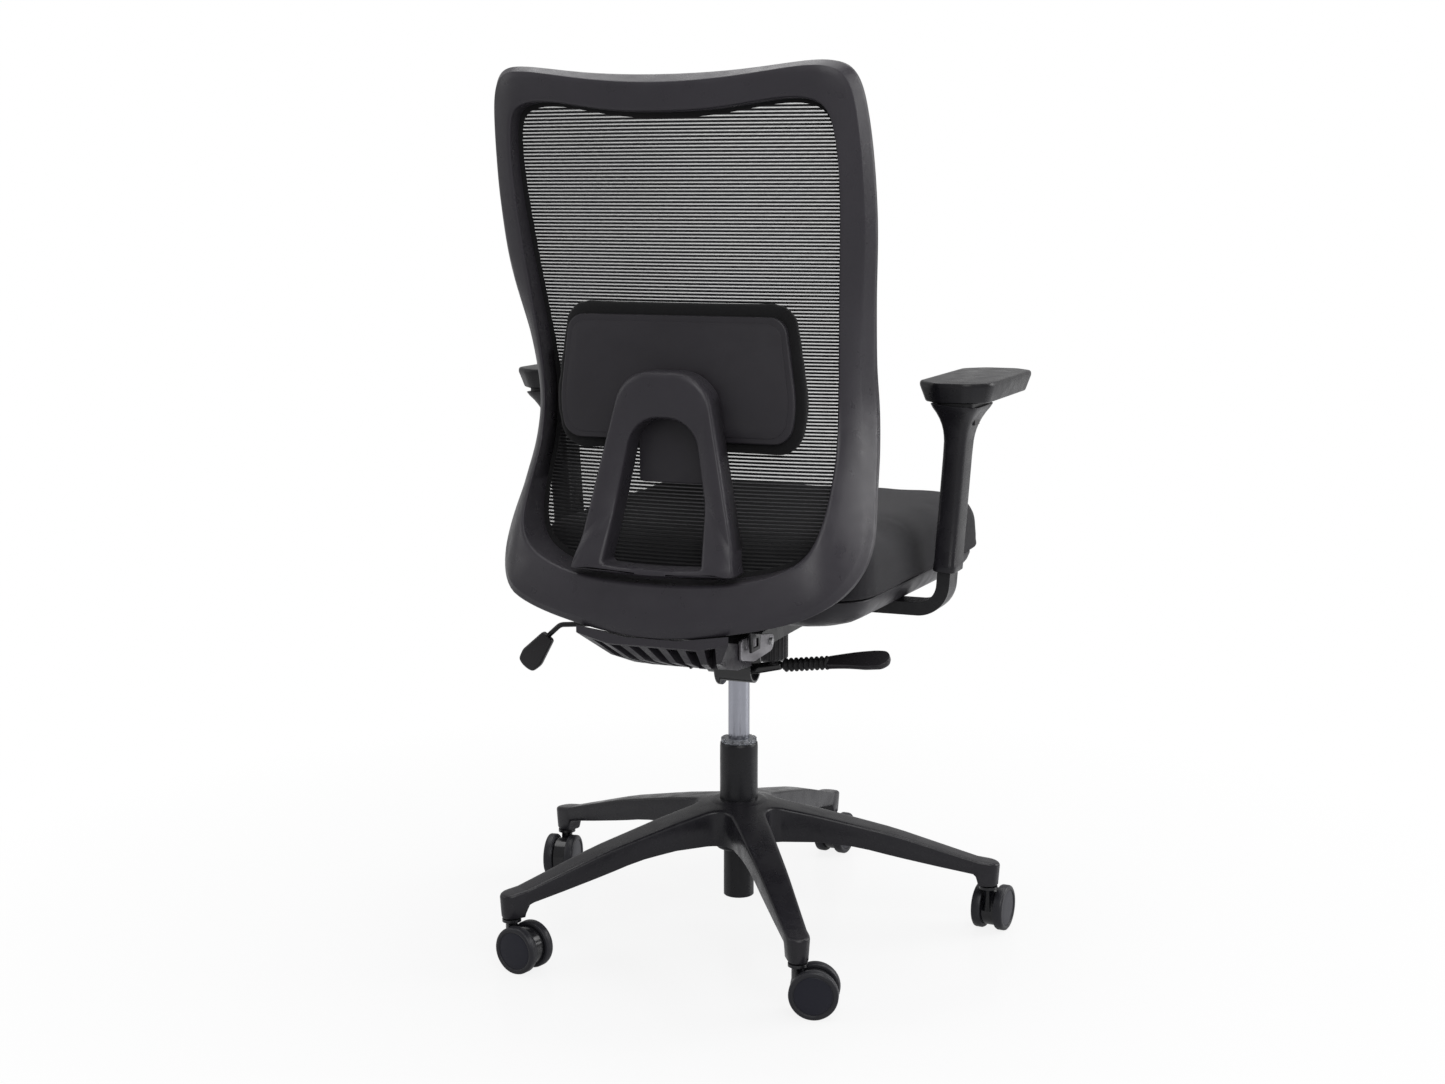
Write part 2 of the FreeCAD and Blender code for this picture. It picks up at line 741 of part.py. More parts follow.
    valve_bottom = "Sizes.cylinder_top + Sizes.valve_stand - Sizes.valve_length"
    node(
        cylinder("valve_pin", "Sizes.valve_radius", "Sizes.valve_length", ("0", "0", valve_bottom)),
        "valve_pin",
    )


# ---------------------------------------------------------------- mechanism

def build_mechanism():
    """Housing, pins, crossbar, side nut, spring and tension knob."""
    housing = new_body("mechanism_housing")
    side = polygon(housing, "YZ_Plane", [
        ("Sizes.housing_front", "Sizes.housing_bottom"),
        ("Sizes.housing_rear", "Sizes.housing_bottom"),
        ("Sizes.housing_rear", "Sizes.housing_rear_top"),
        ("0", "Sizes.housing_mid_top"),
        ("Sizes.seat_pivot_y", "Sizes.housing_front_top"),
        ("Sizes.housing_front", "Sizes.housing_front_top"),
    ])
    pad(housing, side, "2 * Sizes.housing_half_width", symmetric=True)
    room = rectangle(
        housing, "XY_Plane",
        ("-(Sizes.housing_half_width - Sizes.housing_wall)", "Sizes.housing_front + Sizes.housing_wall"),
        ("Sizes.housing_half_width - Sizes.housing_wall", "Sizes.housing_rear - Sizes.housing_wall"),
        lift="Sizes.housing_bottom + Sizes.housing_wall",
    )
    pocket(housing, room, "60", backwards=True)
    boss = circles(
        housing, "XY_Plane", [("0", "0", "Sizes.column_socket_radius")], lift="Sizes.column_socket_bottom"
    )
    pad(housing, boss, "Sizes.housing_bottom + Sizes.housing_wall - Sizes.column_socket_bottom")
    saddle = rectangle(
        housing, "YZ_Plane",
        ("Sizes.crossbar_y - 6", "Sizes.crossbar_z + Sizes.crossbar_radius + 0.2"),
        ("Sizes.crossbar_y + 6", "Sizes.housing_bottom"),
        lift="-Sizes.crossbar_length / 2",
    )
    pad(housing, saddle, "Sizes.crossbar_length - 14", symmetric=True)
    bore = circles(
        housing, "XY_Plane", [("0", "0", "Sizes.cylinder_radius + 0.02")], lift="Sizes.column_socket_bottom"
    )
    pocket(housing, bore, "70", backwards=True)
    bolt_hole = circles(
        housing, "XY_Plane",
        [("0", "Sizes.knob_y", "Sizes.knob_bolt_radius + Sizes.running_gap")],
        lift="Sizes.housing_bottom",
    )
    pocket(housing, bolt_hole, "Sizes.housing_wall", backwards=True)
    pin_holes = circles(housing, "YZ_Plane", [
        ("Sizes.back_pivot_y", "Sizes.back_pivot_z", "Sizes.back_pin_radius + 0.02"),
        ("Sizes.seat_pivot_y", "Sizes.seat_pivot_z", "Sizes.seat_pin_radius + 0.02"),
    ])
    pocket(housing, pin_holes, "3 * Sizes.housing_half_width", symmetric=True)
    rod_hole = circles(
        housing, "YZ_Plane",
        [("Sizes.tilt_rod_y", "Sizes.tilt_rod_z", "Sizes.tilt_rod_radius + Sizes.running_gap")],
    )
    pocket(housing, rod_hole, "2 * Sizes.housing_half_width", backwards=True)
    node(housing, "mechanism_housing")

    reach = "(Sizes.hinge_plate_inside + Sizes.hinge_plate_wall + 3)"
    back_pin = cylinder(
        "back_pivot_pin", "Sizes.back_pin_radius", "2 * " + reach,
        ("-" + reach, "Sizes.back_pivot_y", "Sizes.back_pivot_z"), Vector(1, 0, 0),
    )
    front_reach = "(Sizes.housing_half_width + 0.5 + Sizes.seat_lug_wall + 3)"
    seat_pin = cylinder(
        "seat_pivot_pin", "Sizes.seat_pin_radius", "2 * " + front_reach,
        ("-" + front_reach, "Sizes.seat_pivot_y", "Sizes.seat_pivot_z"), Vector(1, 0, 0),
    )
    node(group("pivot_pins", [back_pin, seat_pin]), "pivot_pins")

    crossbar = new_body("crossbar")
    along = "Sizes.crossbar_length"
    barrel = circles(
        crossbar, "YZ_Plane", [("Sizes.crossbar_y", "Sizes.crossbar_z", "Sizes.crossbar_radius")]
    )
    pad(crossbar, barrel, along, backwards=True)
    flange = circles(
        crossbar, "YZ_Plane", [("Sizes.crossbar_y", "Sizes.crossbar_z - 2", "Sizes.crossbar_flange_radius")]
    )
    pad(crossbar, flange, "Sizes.crossbar_flange_wall")
    spigot = circles(
        crossbar, "YZ_Plane", [("Sizes.crossbar_y", "Sizes.crossbar_z", "Sizes.crossbar_boss_radius")]
    )
    pad(crossbar, spigot, "Sizes.crossbar_flange_wall + Sizes.crossbar_boss_length")
    hollow = circles(
        crossbar, "YZ_Plane",
        [("Sizes.crossbar_y", "Sizes.crossbar_z", "Sizes.crossbar_radius - Sizes.crossbar_wall")],
    )
    pocket(crossbar, hollow, along)
    node(crossbar, "crossbar")

    nut_start = "(Sizes.crossbar_flange_wall + Sizes.crossbar_boss_length + Sizes.seat_gap)"
    nut = new_body("side_nut")
    threaded = circles(
        nut, "YZ_Plane", [("Sizes.crossbar_y", "Sizes.crossbar_z", "Sizes.side_nut_radius")], lift=nut_start
    )
    pad(nut, threaded, "Sizes.side_nut_length / 2")
    cap_start = "%s + Sizes.side_nut_length / 2" % nut_start
    wing = rectangle(
        nut, "YZ_Plane",
        ("Sizes.crossbar_y - 5", "Sizes.crossbar_z - Sizes.side_nut_radius - 2"),
        ("Sizes.crossbar_y + 5", "Sizes.crossbar_z + Sizes.side_nut_radius + 2"),
        lift=cap_start,
    )
    pad(nut, wing, "Sizes.side_nut_length / 2")
    node(nut, "side_nut")

    knob = new_body("tension_knob")
    bolt_top = "Sizes.housing_front_top - 16"
    revolve(knob, [
        ("0", "Sizes.knob_top - Sizes.knob_length"),
        ("Sizes.knob_radius - 4", "Sizes.knob_top - Sizes.knob_length"),
        ("Sizes.knob_radius", "Sizes.knob_top - Sizes.knob_length + 4"),
        ("Sizes.knob_radius", "Sizes.knob_top"),
        ("Sizes.knob_bolt_radius", "Sizes.knob_top"),
        ("Sizes.knob_bolt_radius", bolt_top),
        ("0", bolt_top),
    ])
    flute_sketch = circles(
        knob, "XY_Plane", [("Sizes.knob_radius + 0.8", "0", "Sizes.knob_rib_depth + 0.8")],
        lift="Sizes.knob_top - Sizes.knob_length",
    )
    flute = pocket(knob, flute_sketch, "Sizes.knob_length", backwards=True)
    ring_of(knob, [flute], "Sizes.knob_rib_count")
    knob.setExpression("Placement.Base.y", "Sizes.knob_y")
    node(knob, "tension_knob")

    turns = int(size("Sizes.spring_turns"))
    coils = []
    for i in range(turns):
        coil = bind(
            doc.addObject("Part::Torus", "spring_coil"),
            Radius1="Sizes.spring_radius - Sizes.spring_wire",
            Radius2="Sizes.spring_wire",
            Placement__Base__y="Sizes.knob_y",
            Placement__Base__z="Sizes.housing_bottom + Sizes.housing_wall + 0.1 + Sizes.spring_wire * (1 + 2.05 * %d)" % i,
        )
        coils.append(coil)
    node(group("tension_spring", coils), "tension_spring")


# ---------------------------------------------------------------- levers

def build_height_lever():
    """Arm, bellows and paddle of the height lever, on the sitter's right."""
    pivot, reach, slope = read("height_lever_pivot_x", "height_lever_reach", "height_lever_slope")
    y, z, radius = read("crossbar_y", "crossbar_z", "height_lever_radius")
    rise = math.tan(math.radians(slope))
    bore, wall, pin = read("crossbar_radius", "crossbar_wall", "height_lever_pin_radius")
    inner = Vector(-pivot + 12, y, z - 6)
    outer = Vector(-reach, y, z - 6 + rise * (reach - pivot + 12))
    line = outer - inner
    tip = radius * 0.8
    half = bore - wall - 1
    pivot_z = inner.z + 12 * rise
    arm = Part.makeCone(radius, tip, line.Length, inner, line)
    arm = arm.fuse([
        Part.makeSphere(tip, outer),
        Part.makeCylinder(pin, 2 * half, Vector(-pivot, y - half, pivot_z), Vector(0, 1, 0)),
    ])
    shaped("height_lever_arm", arm)

    fat, length, ribs, droop = read(
        "bellows_radius", "bellows_length", "bellows_rib_count", "bellows_slope"
    )
    across = Vector(-math.cos(math.radians(droop)), 0, math.sin(math.radians(droop)))
    pitch = length / ribs
    start = outer + across * (tip + 0.3)
    profile = [Vector(0, 0, 0)]
    for i in range(int(ribs)):
        profile.append(Vector(fat * 0.78, 0, i * pitch))
        profile.append(Vector(fat, 0, i * pitch + pitch / 2))
    profile.append(Vector(fat * 0.78, 0, length))
    profile.append(Vector(0, 0, length))
    bellows = closed_face(profile).revolve(Vector(), Vector(0, 0, 1), 360)
    bellows.Placement = FreeCAD.Placement(start, FreeCAD.Rotation(Vector(0, 0, 1), across))
    shaped("height_lever_bellows", bellows)

    blade, width, wall, roll = read("paddle_length", "paddle_width", "paddle_wall", "paddle_roll")
    root = start + across * (length + 0.3)
    outline = [
        Vector(0, -fat, 0),
        Vector(blade * 0.45, -width / 2, 0),
        Vector(blade * 0.9, -width / 2, 0),
        Vector(blade, -width * 0.2, 0),
        Vector(blade, width * 0.25, 0),
        Vector(blade * 0.85, width / 2, 0),
        Vector(blade * 0.4, width * 0.42, 0),
        Vector(0, fat, 0),
    ]
    blade_shape = closed_face(outline).extrude(Vector(0, 0, wall))
    blade_shape.translate(Vector(0, 0, -wall / 2))
    blade_shape = blade_shape.makeFillet(min(2.5, wall / 4), blade_shape.Edges)
    turn = FreeCAD.Rotation(Vector(1, 0, 0), across).multiply(FreeCAD.Rotation(Vector(1, 0, 0), roll))
    blade_shape.Placement = FreeCAD.Placement(root, turn)
    shaped("height_lever_paddle", blade_shape)


def build_tilt_lever():
    """Bent rod and paddle of the tilt lock, on the sitter's left."""
    radius, y, z, end = read("tilt_rod_radius", "tilt_rod_y", "tilt_rod_z", "tilt_rod_end")
    bend, dip, drop = read("tilt_rod_bend", "tilt_rod_dip", "tilt_rod_drop")
    half, wall = read("housing_half_width", "housing_wall")
    start = Vector(half - wall - 8, y, z)
    straight = Vector(half + 25, y, z)
    knee = Vector(end, y, z - dip)
    tip = knee + Vector(1.1 * drop, 0, -drop)
    section = Part.Face(Part.Wire(Part.makeCircle(radius, start, Vector(1, 0, 0))))
    shaped("tilt_lever_rod", bent_bar([start, straight, knee, tip], bend, section))

    length, width, thick = read("tilt_paddle_length", "tilt_paddle_width", "tilt_paddle_wall")
    outline = []
    for reach, spread in ((0.0, 0.28), (0.7, 0.5), (0.95, 0.4), (1.0, 0.15)):
        outline.append((length * reach, width * spread))
    outline = outline + [(reach, -spread) for reach, spread in reversed(outline)]
    paddle = closed_face([Vector(reach, spread, 0) for reach, spread in outline]).extrude(Vector(0, 0, thick))
    paddle.translate(Vector(1.2, 0, -thick / 2))
    paddle = paddle.makeFillet(min(2.5, thick / 4), paddle.Edges)
    along = Vector(0.62, 0, -0.78).normalize()
    upright = FreeCAD.Rotation(along, along.cross(Vector(0, 1, 0)) * -1, Vector(0, 1, 0), "XZY")
    paddle.Placement = FreeCAD.Placement(tip, upright)
    shaped("tilt_lever_paddle", paddle)


# ---------------------------------------------------------------- seat

def build_seat_plate():
    """Steel plate under the seat, with its front pivot lugs and slotted rear lugs."""
    plate = new_body("seat_plate")
    half, wall, top = "Sizes.seat_plate_half_width", "Sizes.seat_lug_wall", "Sizes.seat_plate_bottom"
    flat = rectangle(
        plate, "XY_Plane", ("-" + half, "Sizes.seat_plate_front"), (half, "Sizes.seat_plate_rear"), lift=top
    )
    pad(plate, flat, "Sizes.seat_plate_wall")
    for side in (1, -1):
        front_lug = polygon(plate, "YZ_Plane", [
            ("Sizes.seat_pivot_y - 14", top),
            ("Sizes.seat_pivot_y - 9", "Sizes.seat_pivot_z - 8"),
            ("Sizes.seat_pivot_y + 9", "Sizes.seat_pivot_z - 8"),
            ("Sizes.seat_pivot_y + 14", top),
        ], lift="%d * (Sizes.housing_half_width + 0.5 + %s / 2)" % (side, wall))
        pad(plate, front_lug, wall, symmetric=True)
        rear_lug = polygon(plate, "YZ_Plane", [
            ("Sizes.link_pin_y - 20", top),
            ("Sizes.link_pin_y - 15", "Sizes.link_pin_z - 10"),
            ("Sizes.link_pin_y + 15", "Sizes.link_pin_z - 10"),
            ("Sizes.link_pin_y + 19", top),
        ], lift="%d * (Sizes.seat_lug_inside + %s / 2)" % (side, wall))
        pad(plate, rear_lug, wall, symmetric=True)
    pivot = circles(
        plate,
        "YZ_Plane",
        [("Sizes.seat_pivot_y", "Sizes.seat_pivot_z", "Sizes.seat_pin_radius + Sizes.running_gap")],
    )
    pocket(plate, pivot, "3 * Sizes.housing_half_width", symmetric=True)
    slot = rectangle(
        plate, "YZ_Plane",
        (
            "Sizes.link_pin_y - Sizes.link_pin_radius - Sizes.link_slot_play",
            "Sizes.link_pin_z - Sizes.link_pin_radius - 1.5",
        ),
        (
            "Sizes.link_pin_y + Sizes.link_pin_radius + Sizes.link_slot_play",
            "Sizes.link_pin_z + Sizes.link_pin_radius + 1.5",
        ),
    )
    pocket(plate, slot, "3 * Sizes.housing_half_width", symmetric=True)
    node(plate, "seat_plate")


def seat_outline(inset, z):
    """Rounded seat outline, a little narrower at the rear, at one height."""
    half, front, rear, corner = read("seat_half_width", "seat_front", "seat_rear", "seat_corner")
    half -= inset
    front += inset
    rear -= inset
    narrow = half - 22
    corner = max(corner - inset, 20)
    rim = Part.makePolygon([
        Vector(-half, front, z), Vector(half, front, z), Vector(narrow, rear, z),
        Vector(-narrow, rear, z), Vector(-half, front, z),
    ])
    prism = Part.Face(rim).extrude(Vector(0, 0, 10))
    upright = [e for e in prism.Edges if abs(e.tangentAt(e.FirstParameter).z) > 0.9]
    rounded = prism.makeFillet(corner, upright)
    bottom = [f for f in rounded.Faces if abs(f.BoundBox.ZMax - z) < 0.01]
    return bottom[0].OuterWire


def build_seat():
    """Moulded shell and cushion of the seat."""
    floor, plate_wall, rim, rim_wall = read(
        "seat_plate_bottom", "seat_plate_wall", "shell_rim", "shell_rim_wall"
    )
    low = floor + plate_wall + 0.2
    wires = [seat_outline(95, low), seat_outline(30, low + 0.45 * (rim - low)), seat_outline(12, rim)]
    shell = Part.makeLoft(wires, True, False)
    inner = Part.makeLoft([
        seat_outline(99, low + rim_wall),
        seat_outline(38, low + rim_wall + 0.45 * (rim - low)),
        seat_outline(20, rim + rim_wall),
    ], True, False)
    under = Part.makeBox(900, 900, 20, Vector(-450, -450, low - 20))
    shell = shell.cut(inner).cut(under)
    channels = arm_channels(low, rim)
    shell = shell.cut(channels)
    shaped("seat_shell", shell)

    top = size("Sizes.cushion_top")
    base = rim + 0.3
    block = Part.Face(seat_outline(0, base)).extrude(Vector(0, 0, top - base))
    upper = [e for e in block.Edges if e.BoundBox.ZMin > top - 0.01]
    block = block.makeFillet(min(30.0, (top - base) / 2 - 1), upper)
    lower = [e for e in block.Edges if e.BoundBox.ZMax < base + 0.01]
    block = block.makeFillet(min(12.0, (top - base) / 4), lower)
    shaped("seat_cushion", block)

    screws = []
    count = 0
    for sx in (-1, 1):
        for y in ("Sizes.seat_screw_front_y", "Sizes.seat_screw_rear_y"):
            count += 1
            at = (
                "%d * Sizes.seat_screw_x" % sx,
                y,
                "Sizes.seat_plate_bottom - 3.2",
            )
            screws.append(cylinder("seat_screw_%d" % count, "Sizes.seat_screw_radius + 2", "3", at))
    node(group("seat_screws", screws), "seat_screws")


def arm_channels(low, rim):
    """Space that the two arm bars take under the shell."""
    start, z, wall, width, y = read("arm_bar_start", "arm_bar_z", "arm_bar_wall", "arm_bar_width", "arm_y")
    gap = 0.3
    spaces = []
    for side in (1, -1):
        space = Part.makeBox(
            200, width + 2 * gap, z + wall / 2 + gap - low + 20,
            Vector(start - gap if side > 0 else -start - 200 + gap, y - width / 2 - gap, low - 20),
        )
        spaces.append(space)
    return spaces[0].fuse(spaces[1])


# ---------------------------------------------------------------- back

def back_rows():
    """Stations up the back: height, then the curve of its rear and of its front surface.

    A curve is Y at the middle, at the side of the opening and near the edge, then its last fall.
    """
    bottom_y, hip_y, waist_y, top_y = read("back_bottom_y", "back_hip_y", "back_waist_y", "back_top_y")
    bottom, hip, waist, top = read("back_bottom", "back_hip_z", "back_waist_z", "back_top")
    low, high = hip_y - waist_y, top_y - waist_y
    rows = []
    for z, side, rise, drop, wall, front_rise, front_drop in (
        (bottom - 6, bottom_y + 4, 22, 34, 43, 13, 10),
        (bottom + 43, bottom_y, 26, 34, 42, 16, 10),
        (hip, hip_y, 20, 62.5, 63, 21, 15),
        (hip + 50, waist_y + 0.585 * low, 22, 71, 55.4, 16, 28),
        (waist - 60, waist_y + 0.16 * low, 25, 75.5, 47, 16, 38),
        (waist - 10, waist_y, 27, 79, 41.7, 16, 44),
        (waist + 40, waist_y + 0.065 * high, 27, 64, 42, 12, 30),
        (waist + 0.348 * (top - waist), waist_y + 0.338 * high, 25, 26, 39, 14, 6),
        (waist + 0.593 * (top - waist), waist_y + 0.603 * high, 23, 19.7, 35.7, 22, 4),
        (waist + 0.833 * (top - waist), waist_y + 0.828 * high, 18, 19.5, 30, 20, 6),
        (top + 8, top_y - 3, 15, 18, 26, 16, 8),
    ):
        front = side - wall
        rear_curve = (side + rise, side, side - drop, 11)
        rows.append((z, rear_curve, (front + front_rise, front, front - front_drop, 0)))
    return rows


def level_points(z, shift, middle, side, edge, fall):
    """Points across the back at a height, from -X to +X."""
    wide = size("Sizes.back_top_half_width")
    slope = (side - edge) / 45.0
    half = [
        (wide * 0.25, middle - 0.1 * (middle - side)),
        (wide * 0.52, middle - 0.42 * (middle - side)),
        (wide - 54, side),
        (wide - 30, edge + 22 * slope),
        (wide - 9, edge),
        (wide, edge - 9 * slope - fall),
        (wide + 12, edge - 21 * slope - 2.5 * fall),
    ]
    left = [Vector(-x, y + shift, z) for x, y in reversed(half)]
    return left + [Vector(0, middle + shift, z)] + [Vector(x, y + shift, z) for x, y in half]


def eased(stations, z):
    """Values at a height on smooth curves through the stations (height, values)."""
    last = len(stations) - 1
    index = min(max(i for i in range(last + 1) if stations[i][0] <= z), last - 1)
    low, high = stations[index], stations[index + 1]
    run = high[0] - low[0]
    t = (z - low[0]) / run
    values = []
    for column in range(len(low[1])):
        slopes = []
        for at in (index, index + 1):
            before, after = stations[max(at - 1, 0)], stations[min(at + 1, last)]
            slopes.append((after[1][column] - before[1][column]) / (after[0] - before[0]) * run)
        start, end = low[1][column], high[1][column]
        rise = end - start
        values.append(
            start + slopes[0] * t + (3 * rise - 2 * slopes[0] - slopes[1]) * t ** 2
            + (slopes[0] + slopes[1] - 2 * rise) * t ** 3
        )
    return values


def back_surface(rear_surface, shift=0):
    """The back's rear or front surface as one face, shifted along Y."""
    stations = [(z, rear if rear_surface else front) for z, rear, front in back_rows()]
    lowest, highest, count = stations[0][0], stations[-1][0], 36
    grid = []
    for step in range(count + 1):
        z = lowest + (highest - lowest) * step / count
        grid.append(level_points(z, shift, *eased(stations, z)))
    surface = Part.BSplineSurface()
    surface.interpolate(grid)
    return surface.toShape()


def mirrored_outline(half_poles, inset=0.0):
    """Smooth closed outline in the XZ plane from the control points of its +X half.

    The first point is at the top middle and the last at the bottom middle. The
    control points move inwards by the inset.
    """
    right = [Vector(x, 0, z) for x, z in half_poles]
    left = [Vector(-x, 0, z) for x, z in reversed(half_poles[1:-1])]
    poles = right + left
    count = len(poles)
    moved = []
    for i in range(count):
        along = (poles[(i + 1) % count] - poles[i - 1]).normalize()
        moved.append(poles[i] + Vector(along.z, 0, -along.x) * inset)
    curve = Part.BSplineCurve()
    curve.buildFromPoles(moved, True, 3)
    return Part.Wire([curve.toShape()])


def back_outlines():
    """Control points of the back frame's outside and of its opening."""
    top, dip, corner_x = read("back_top", "back_top_dip", "back_corner_x")
    wide, waist_w, waist = read("back_top_half_width", "back_waist_half_width", "back_waist_z")
    hip_w, hip, bottom = read("back_hip_half_width", "back_hip_z", "back_bottom")
    band, top_band, bottom_band = read("back_band", "back_top_band", "back_bottom_band")
    outside = [
        (0, top - dip),
        (corner_x * 0.54, top - 0.73 * dip),
        (corner_x, top + 2.4),
        (wide - 15, top - 7),
        (wide - 5.5, top - 51),
        (wide, top - 128),
        (wide - 2, waist + 0.43 * (top - waist)),
        (waist_w + 1, waist + 48),
        (waist_w + 3, waist - 38),
        (hip_w - 12, hip + 36),
        (hip_w, hip - 21),
        (hip_w - 31, bottom + 42),
        (hip_w * 0.48, bottom + 18.7),
        (0, bottom),
    ]
    opening = [
        (0, top - dip - top_band),
        (corner_x * 0.38, top - dip - top_band + 2),
        (corner_x - 48, top - top_band + 0.7),
        (wide - band - 4.6, top - top_band - 2.8),
        (wide - band + 5, top - top_band - 34),
        (wide - band + 8.5, top - 134),
        (wide - band + 2.5, waist + 0.42 * (top - waist)),
        (waist_w - band + 14.4, waist + 37),
        (waist_w - band + 13.3, waist - 33),
        (hip_w - band - 6.2, hip + 48),
        (hip_w - band - 12.5, hip - 10.5),
        (hip_w - band - 52, bottom + bottom_band + 16.8),
        (hip_w * 0.34, bottom + bottom_band + 2),
        (0, bottom + bottom_band),
    ]
    return outside, opening


def build_back_frame_and_mesh():
    """Moulded frame round its opening, and the mesh stretched across the opening."""
    outside, opening = back_outlines()
    mesh_wall, set_back = read("mesh_wall", "mesh_set_back")
    reach = Vector(0, 400, 0)
    ring = Part.Face(mirrored_outline(outside)).extrude(reach)
    ring = ring.cut(Part.Face(mirrored_outline(opening)).extrude(reach))
    behind = back_surface(True).extrude(reach)
    ahead = back_surface(False).extrude(-reach)
    shaped("back_frame", ring.cut(behind).cut(ahead))
    sheet_space = Part.Face(mirrored_outline(opening, 0.4)).extrude(reach)
    sheet = back_surface(False, set_back).common(sheet_space)
    shaped("back_mesh", sheet.Faces[0].extrude(Vector(0, mesh_wall, 0)))


def build_back_bracket():
    """Ribbed bracket under the back, and the two steel plates that hang it on its pivot."""
    bracket = new_body("back_bracket")
    front_y, front_w, front_low, front_high = (
        "Sizes.bracket_front_y", "Sizes.bracket_front_half_width",
        "Sizes.bracket_front_bottom", "Sizes.bracket_front_top",
    )
    rear_top = "Sizes.back_bottom + 6.2 - Sizes.seat_gap"
    rear_low = "%s - Sizes.bracket_rear_height" % rear_top
    rear_w = "Sizes.bracket_rear_half_width"
    sections = []
    for share, spread, fall in (
        (0.0, 0.0, 1.0), (0.26, 0.0, 0.93), (0.53, 0.12, 0.74), (0.77, 0.38, 0.48), (1.0, 1.0, 0.0)
    ):
        y = "%s + %g * (Sizes.bracket_rear_y - %s)" % (front_y, share, front_y)
        half = "(%s + %g * (%s - %s))" % (front_w, spread, rear_w, front_w)
        low = "(%s - %g * ((%s) - %s))" % (rear_low, fall, rear_low, front_low)
        high = "(%s + %g * ((%s) - %s))" % (front_high, share, rear_top, front_high)
        lift = "%g * Sizes.bracket_side_rise" % spread
        sections.append(polygon(bracket, "XZ_Plane", [
            ("-" + half, low + " + " + lift),
            ("-0.6 * " + half, low),
            ("0.6 * " + half, low),
            (half, low + " + " + lift),
            (half, high + " + " + lift),
            ("0.35 * " + half, high),
            ("-0.35 * " + half, high),
            ("-" + half, high + " + " + lift),
        ], lift="-(%s)" % y))
    loft = bracket.newObject("PartDesign::AdditiveLoft", "bracket_loft")
    loft.Profile = sections[0]
    loft.Sections = sections[1:]
    loft.Ruled = True
    count = int(size("Sizes.bracket_slot_count"))
    for i in range(count):
        at = (i - (count - 1) / 2.0) * 2.0 / count
        near = "%g * (%s - 4)" % (at, front_w)
        far = "%g * (%s - 13)" % (at, rear_w)
        wide = "Sizes.bracket_slot_width"
        slot = polygon(bracket, "XY_Plane", [
            ("%s - %s * 0.28" % (near, wide), "%s + 95" % front_y),
            ("%s + %s * 0.28" % (near, wide), "%s + 95" % front_y),
            ("%s + %s / 2" % (far, wide), "Sizes.bracket_rear_y - 4"),
            ("%s - %s / 2" % (far, wide), "Sizes.bracket_rear_y - 4"),
        ], lift="Sizes.bracket_front_bottom - 5")
        pocket(bracket, slot, "%s - 4 - (Sizes.bracket_front_bottom - 5)" % rear_top, backwards=True)
    node(bracket, "back_bracket")

    plates = []
    for side in (1, -1):
        plate = new_body("hinge_plate")
        inside = "Sizes.hinge_plate_inside"
        lift = "%d * (%s + Sizes.hinge_plate_wall / 2)" % (side, inside)
        shape = polygon(plate, "YZ_Plane", [
            ("Sizes.back_pivot_y - Sizes.hinge_plate_eye", "Sizes.back_pivot_z - 6"),
            ("Sizes.back_pivot_y - 6", "Sizes.back_pivot_z - Sizes.hinge_plate_eye"),
            ("Sizes.bracket_front_y", "Sizes.bracket_front_bottom + 6"),
            ("Sizes.hinge_plate_rear", "Sizes.bracket_front_bottom + 16"),
            ("Sizes.hinge_plate_rear", "Sizes.link_pin_z + 8"),
            ("Sizes.link_pin_y - 8", "Sizes.link_pin_z + 8"),
            ("Sizes.back_pivot_y + 6", "Sizes.back_pivot_z + Sizes.hinge_plate_eye - 2"),
            ("Sizes.back_pivot_y - 6", "Sizes.back_pivot_z + Sizes.hinge_plate_eye - 2"),
            ("Sizes.back_pivot_y - Sizes.hinge_plate_eye", "Sizes.back_pivot_z + 6"),
        ], lift=lift)
        pad(plate, shape, "Sizes.hinge_plate_wall", symmetric=True)
        eye = circles(plate, "YZ_Plane", [
            ("Sizes.back_pivot_y", "Sizes.back_pivot_z", "Sizes.back_pin_radius + Sizes.running_gap"),
        ])
        pocket(plate, eye, "4 * " + inside, symmetric=True)
        stud = circles(
            plate,
            "YZ_Plane",
            [("Sizes.link_pin_y", "Sizes.link_pin_z", "Sizes.link_pin_radius")],
            lift=lift,
        )
        pad(
            plate, stud, "Sizes.seat_lug_inside + Sizes.seat_lug_wall + 2 - %s" % inside, backwards=side < 0
        )
        plates.append(plate)
    node(group("hinge_plates", plates), "hinge_plates")


# ---------------------------------------------------------------- lumbar support

def plate_across(points, y, wall, radius, above=-1.0e9):
    """Plate standing across Y, with its upright corners over a height rounded."""
    flat = closed_face([Vector(x, y, z) for x, z in points]).extrude(Vector(0, wall, 0))
    corners = []
    for edge in flat.Edges:
        along = edge.tangentAt(edge.FirstParameter)
        if abs(along.y) > 0.9 and edge.BoundBox.ZMin > above:
            corners.append(edge)
    return flat.makeFillet(radius, corners)


def mirrored(points):
    """Closed list of points: those of the +X half, then their mirror images."""
    return points + [(-x, z) for x, z in reversed(points)]


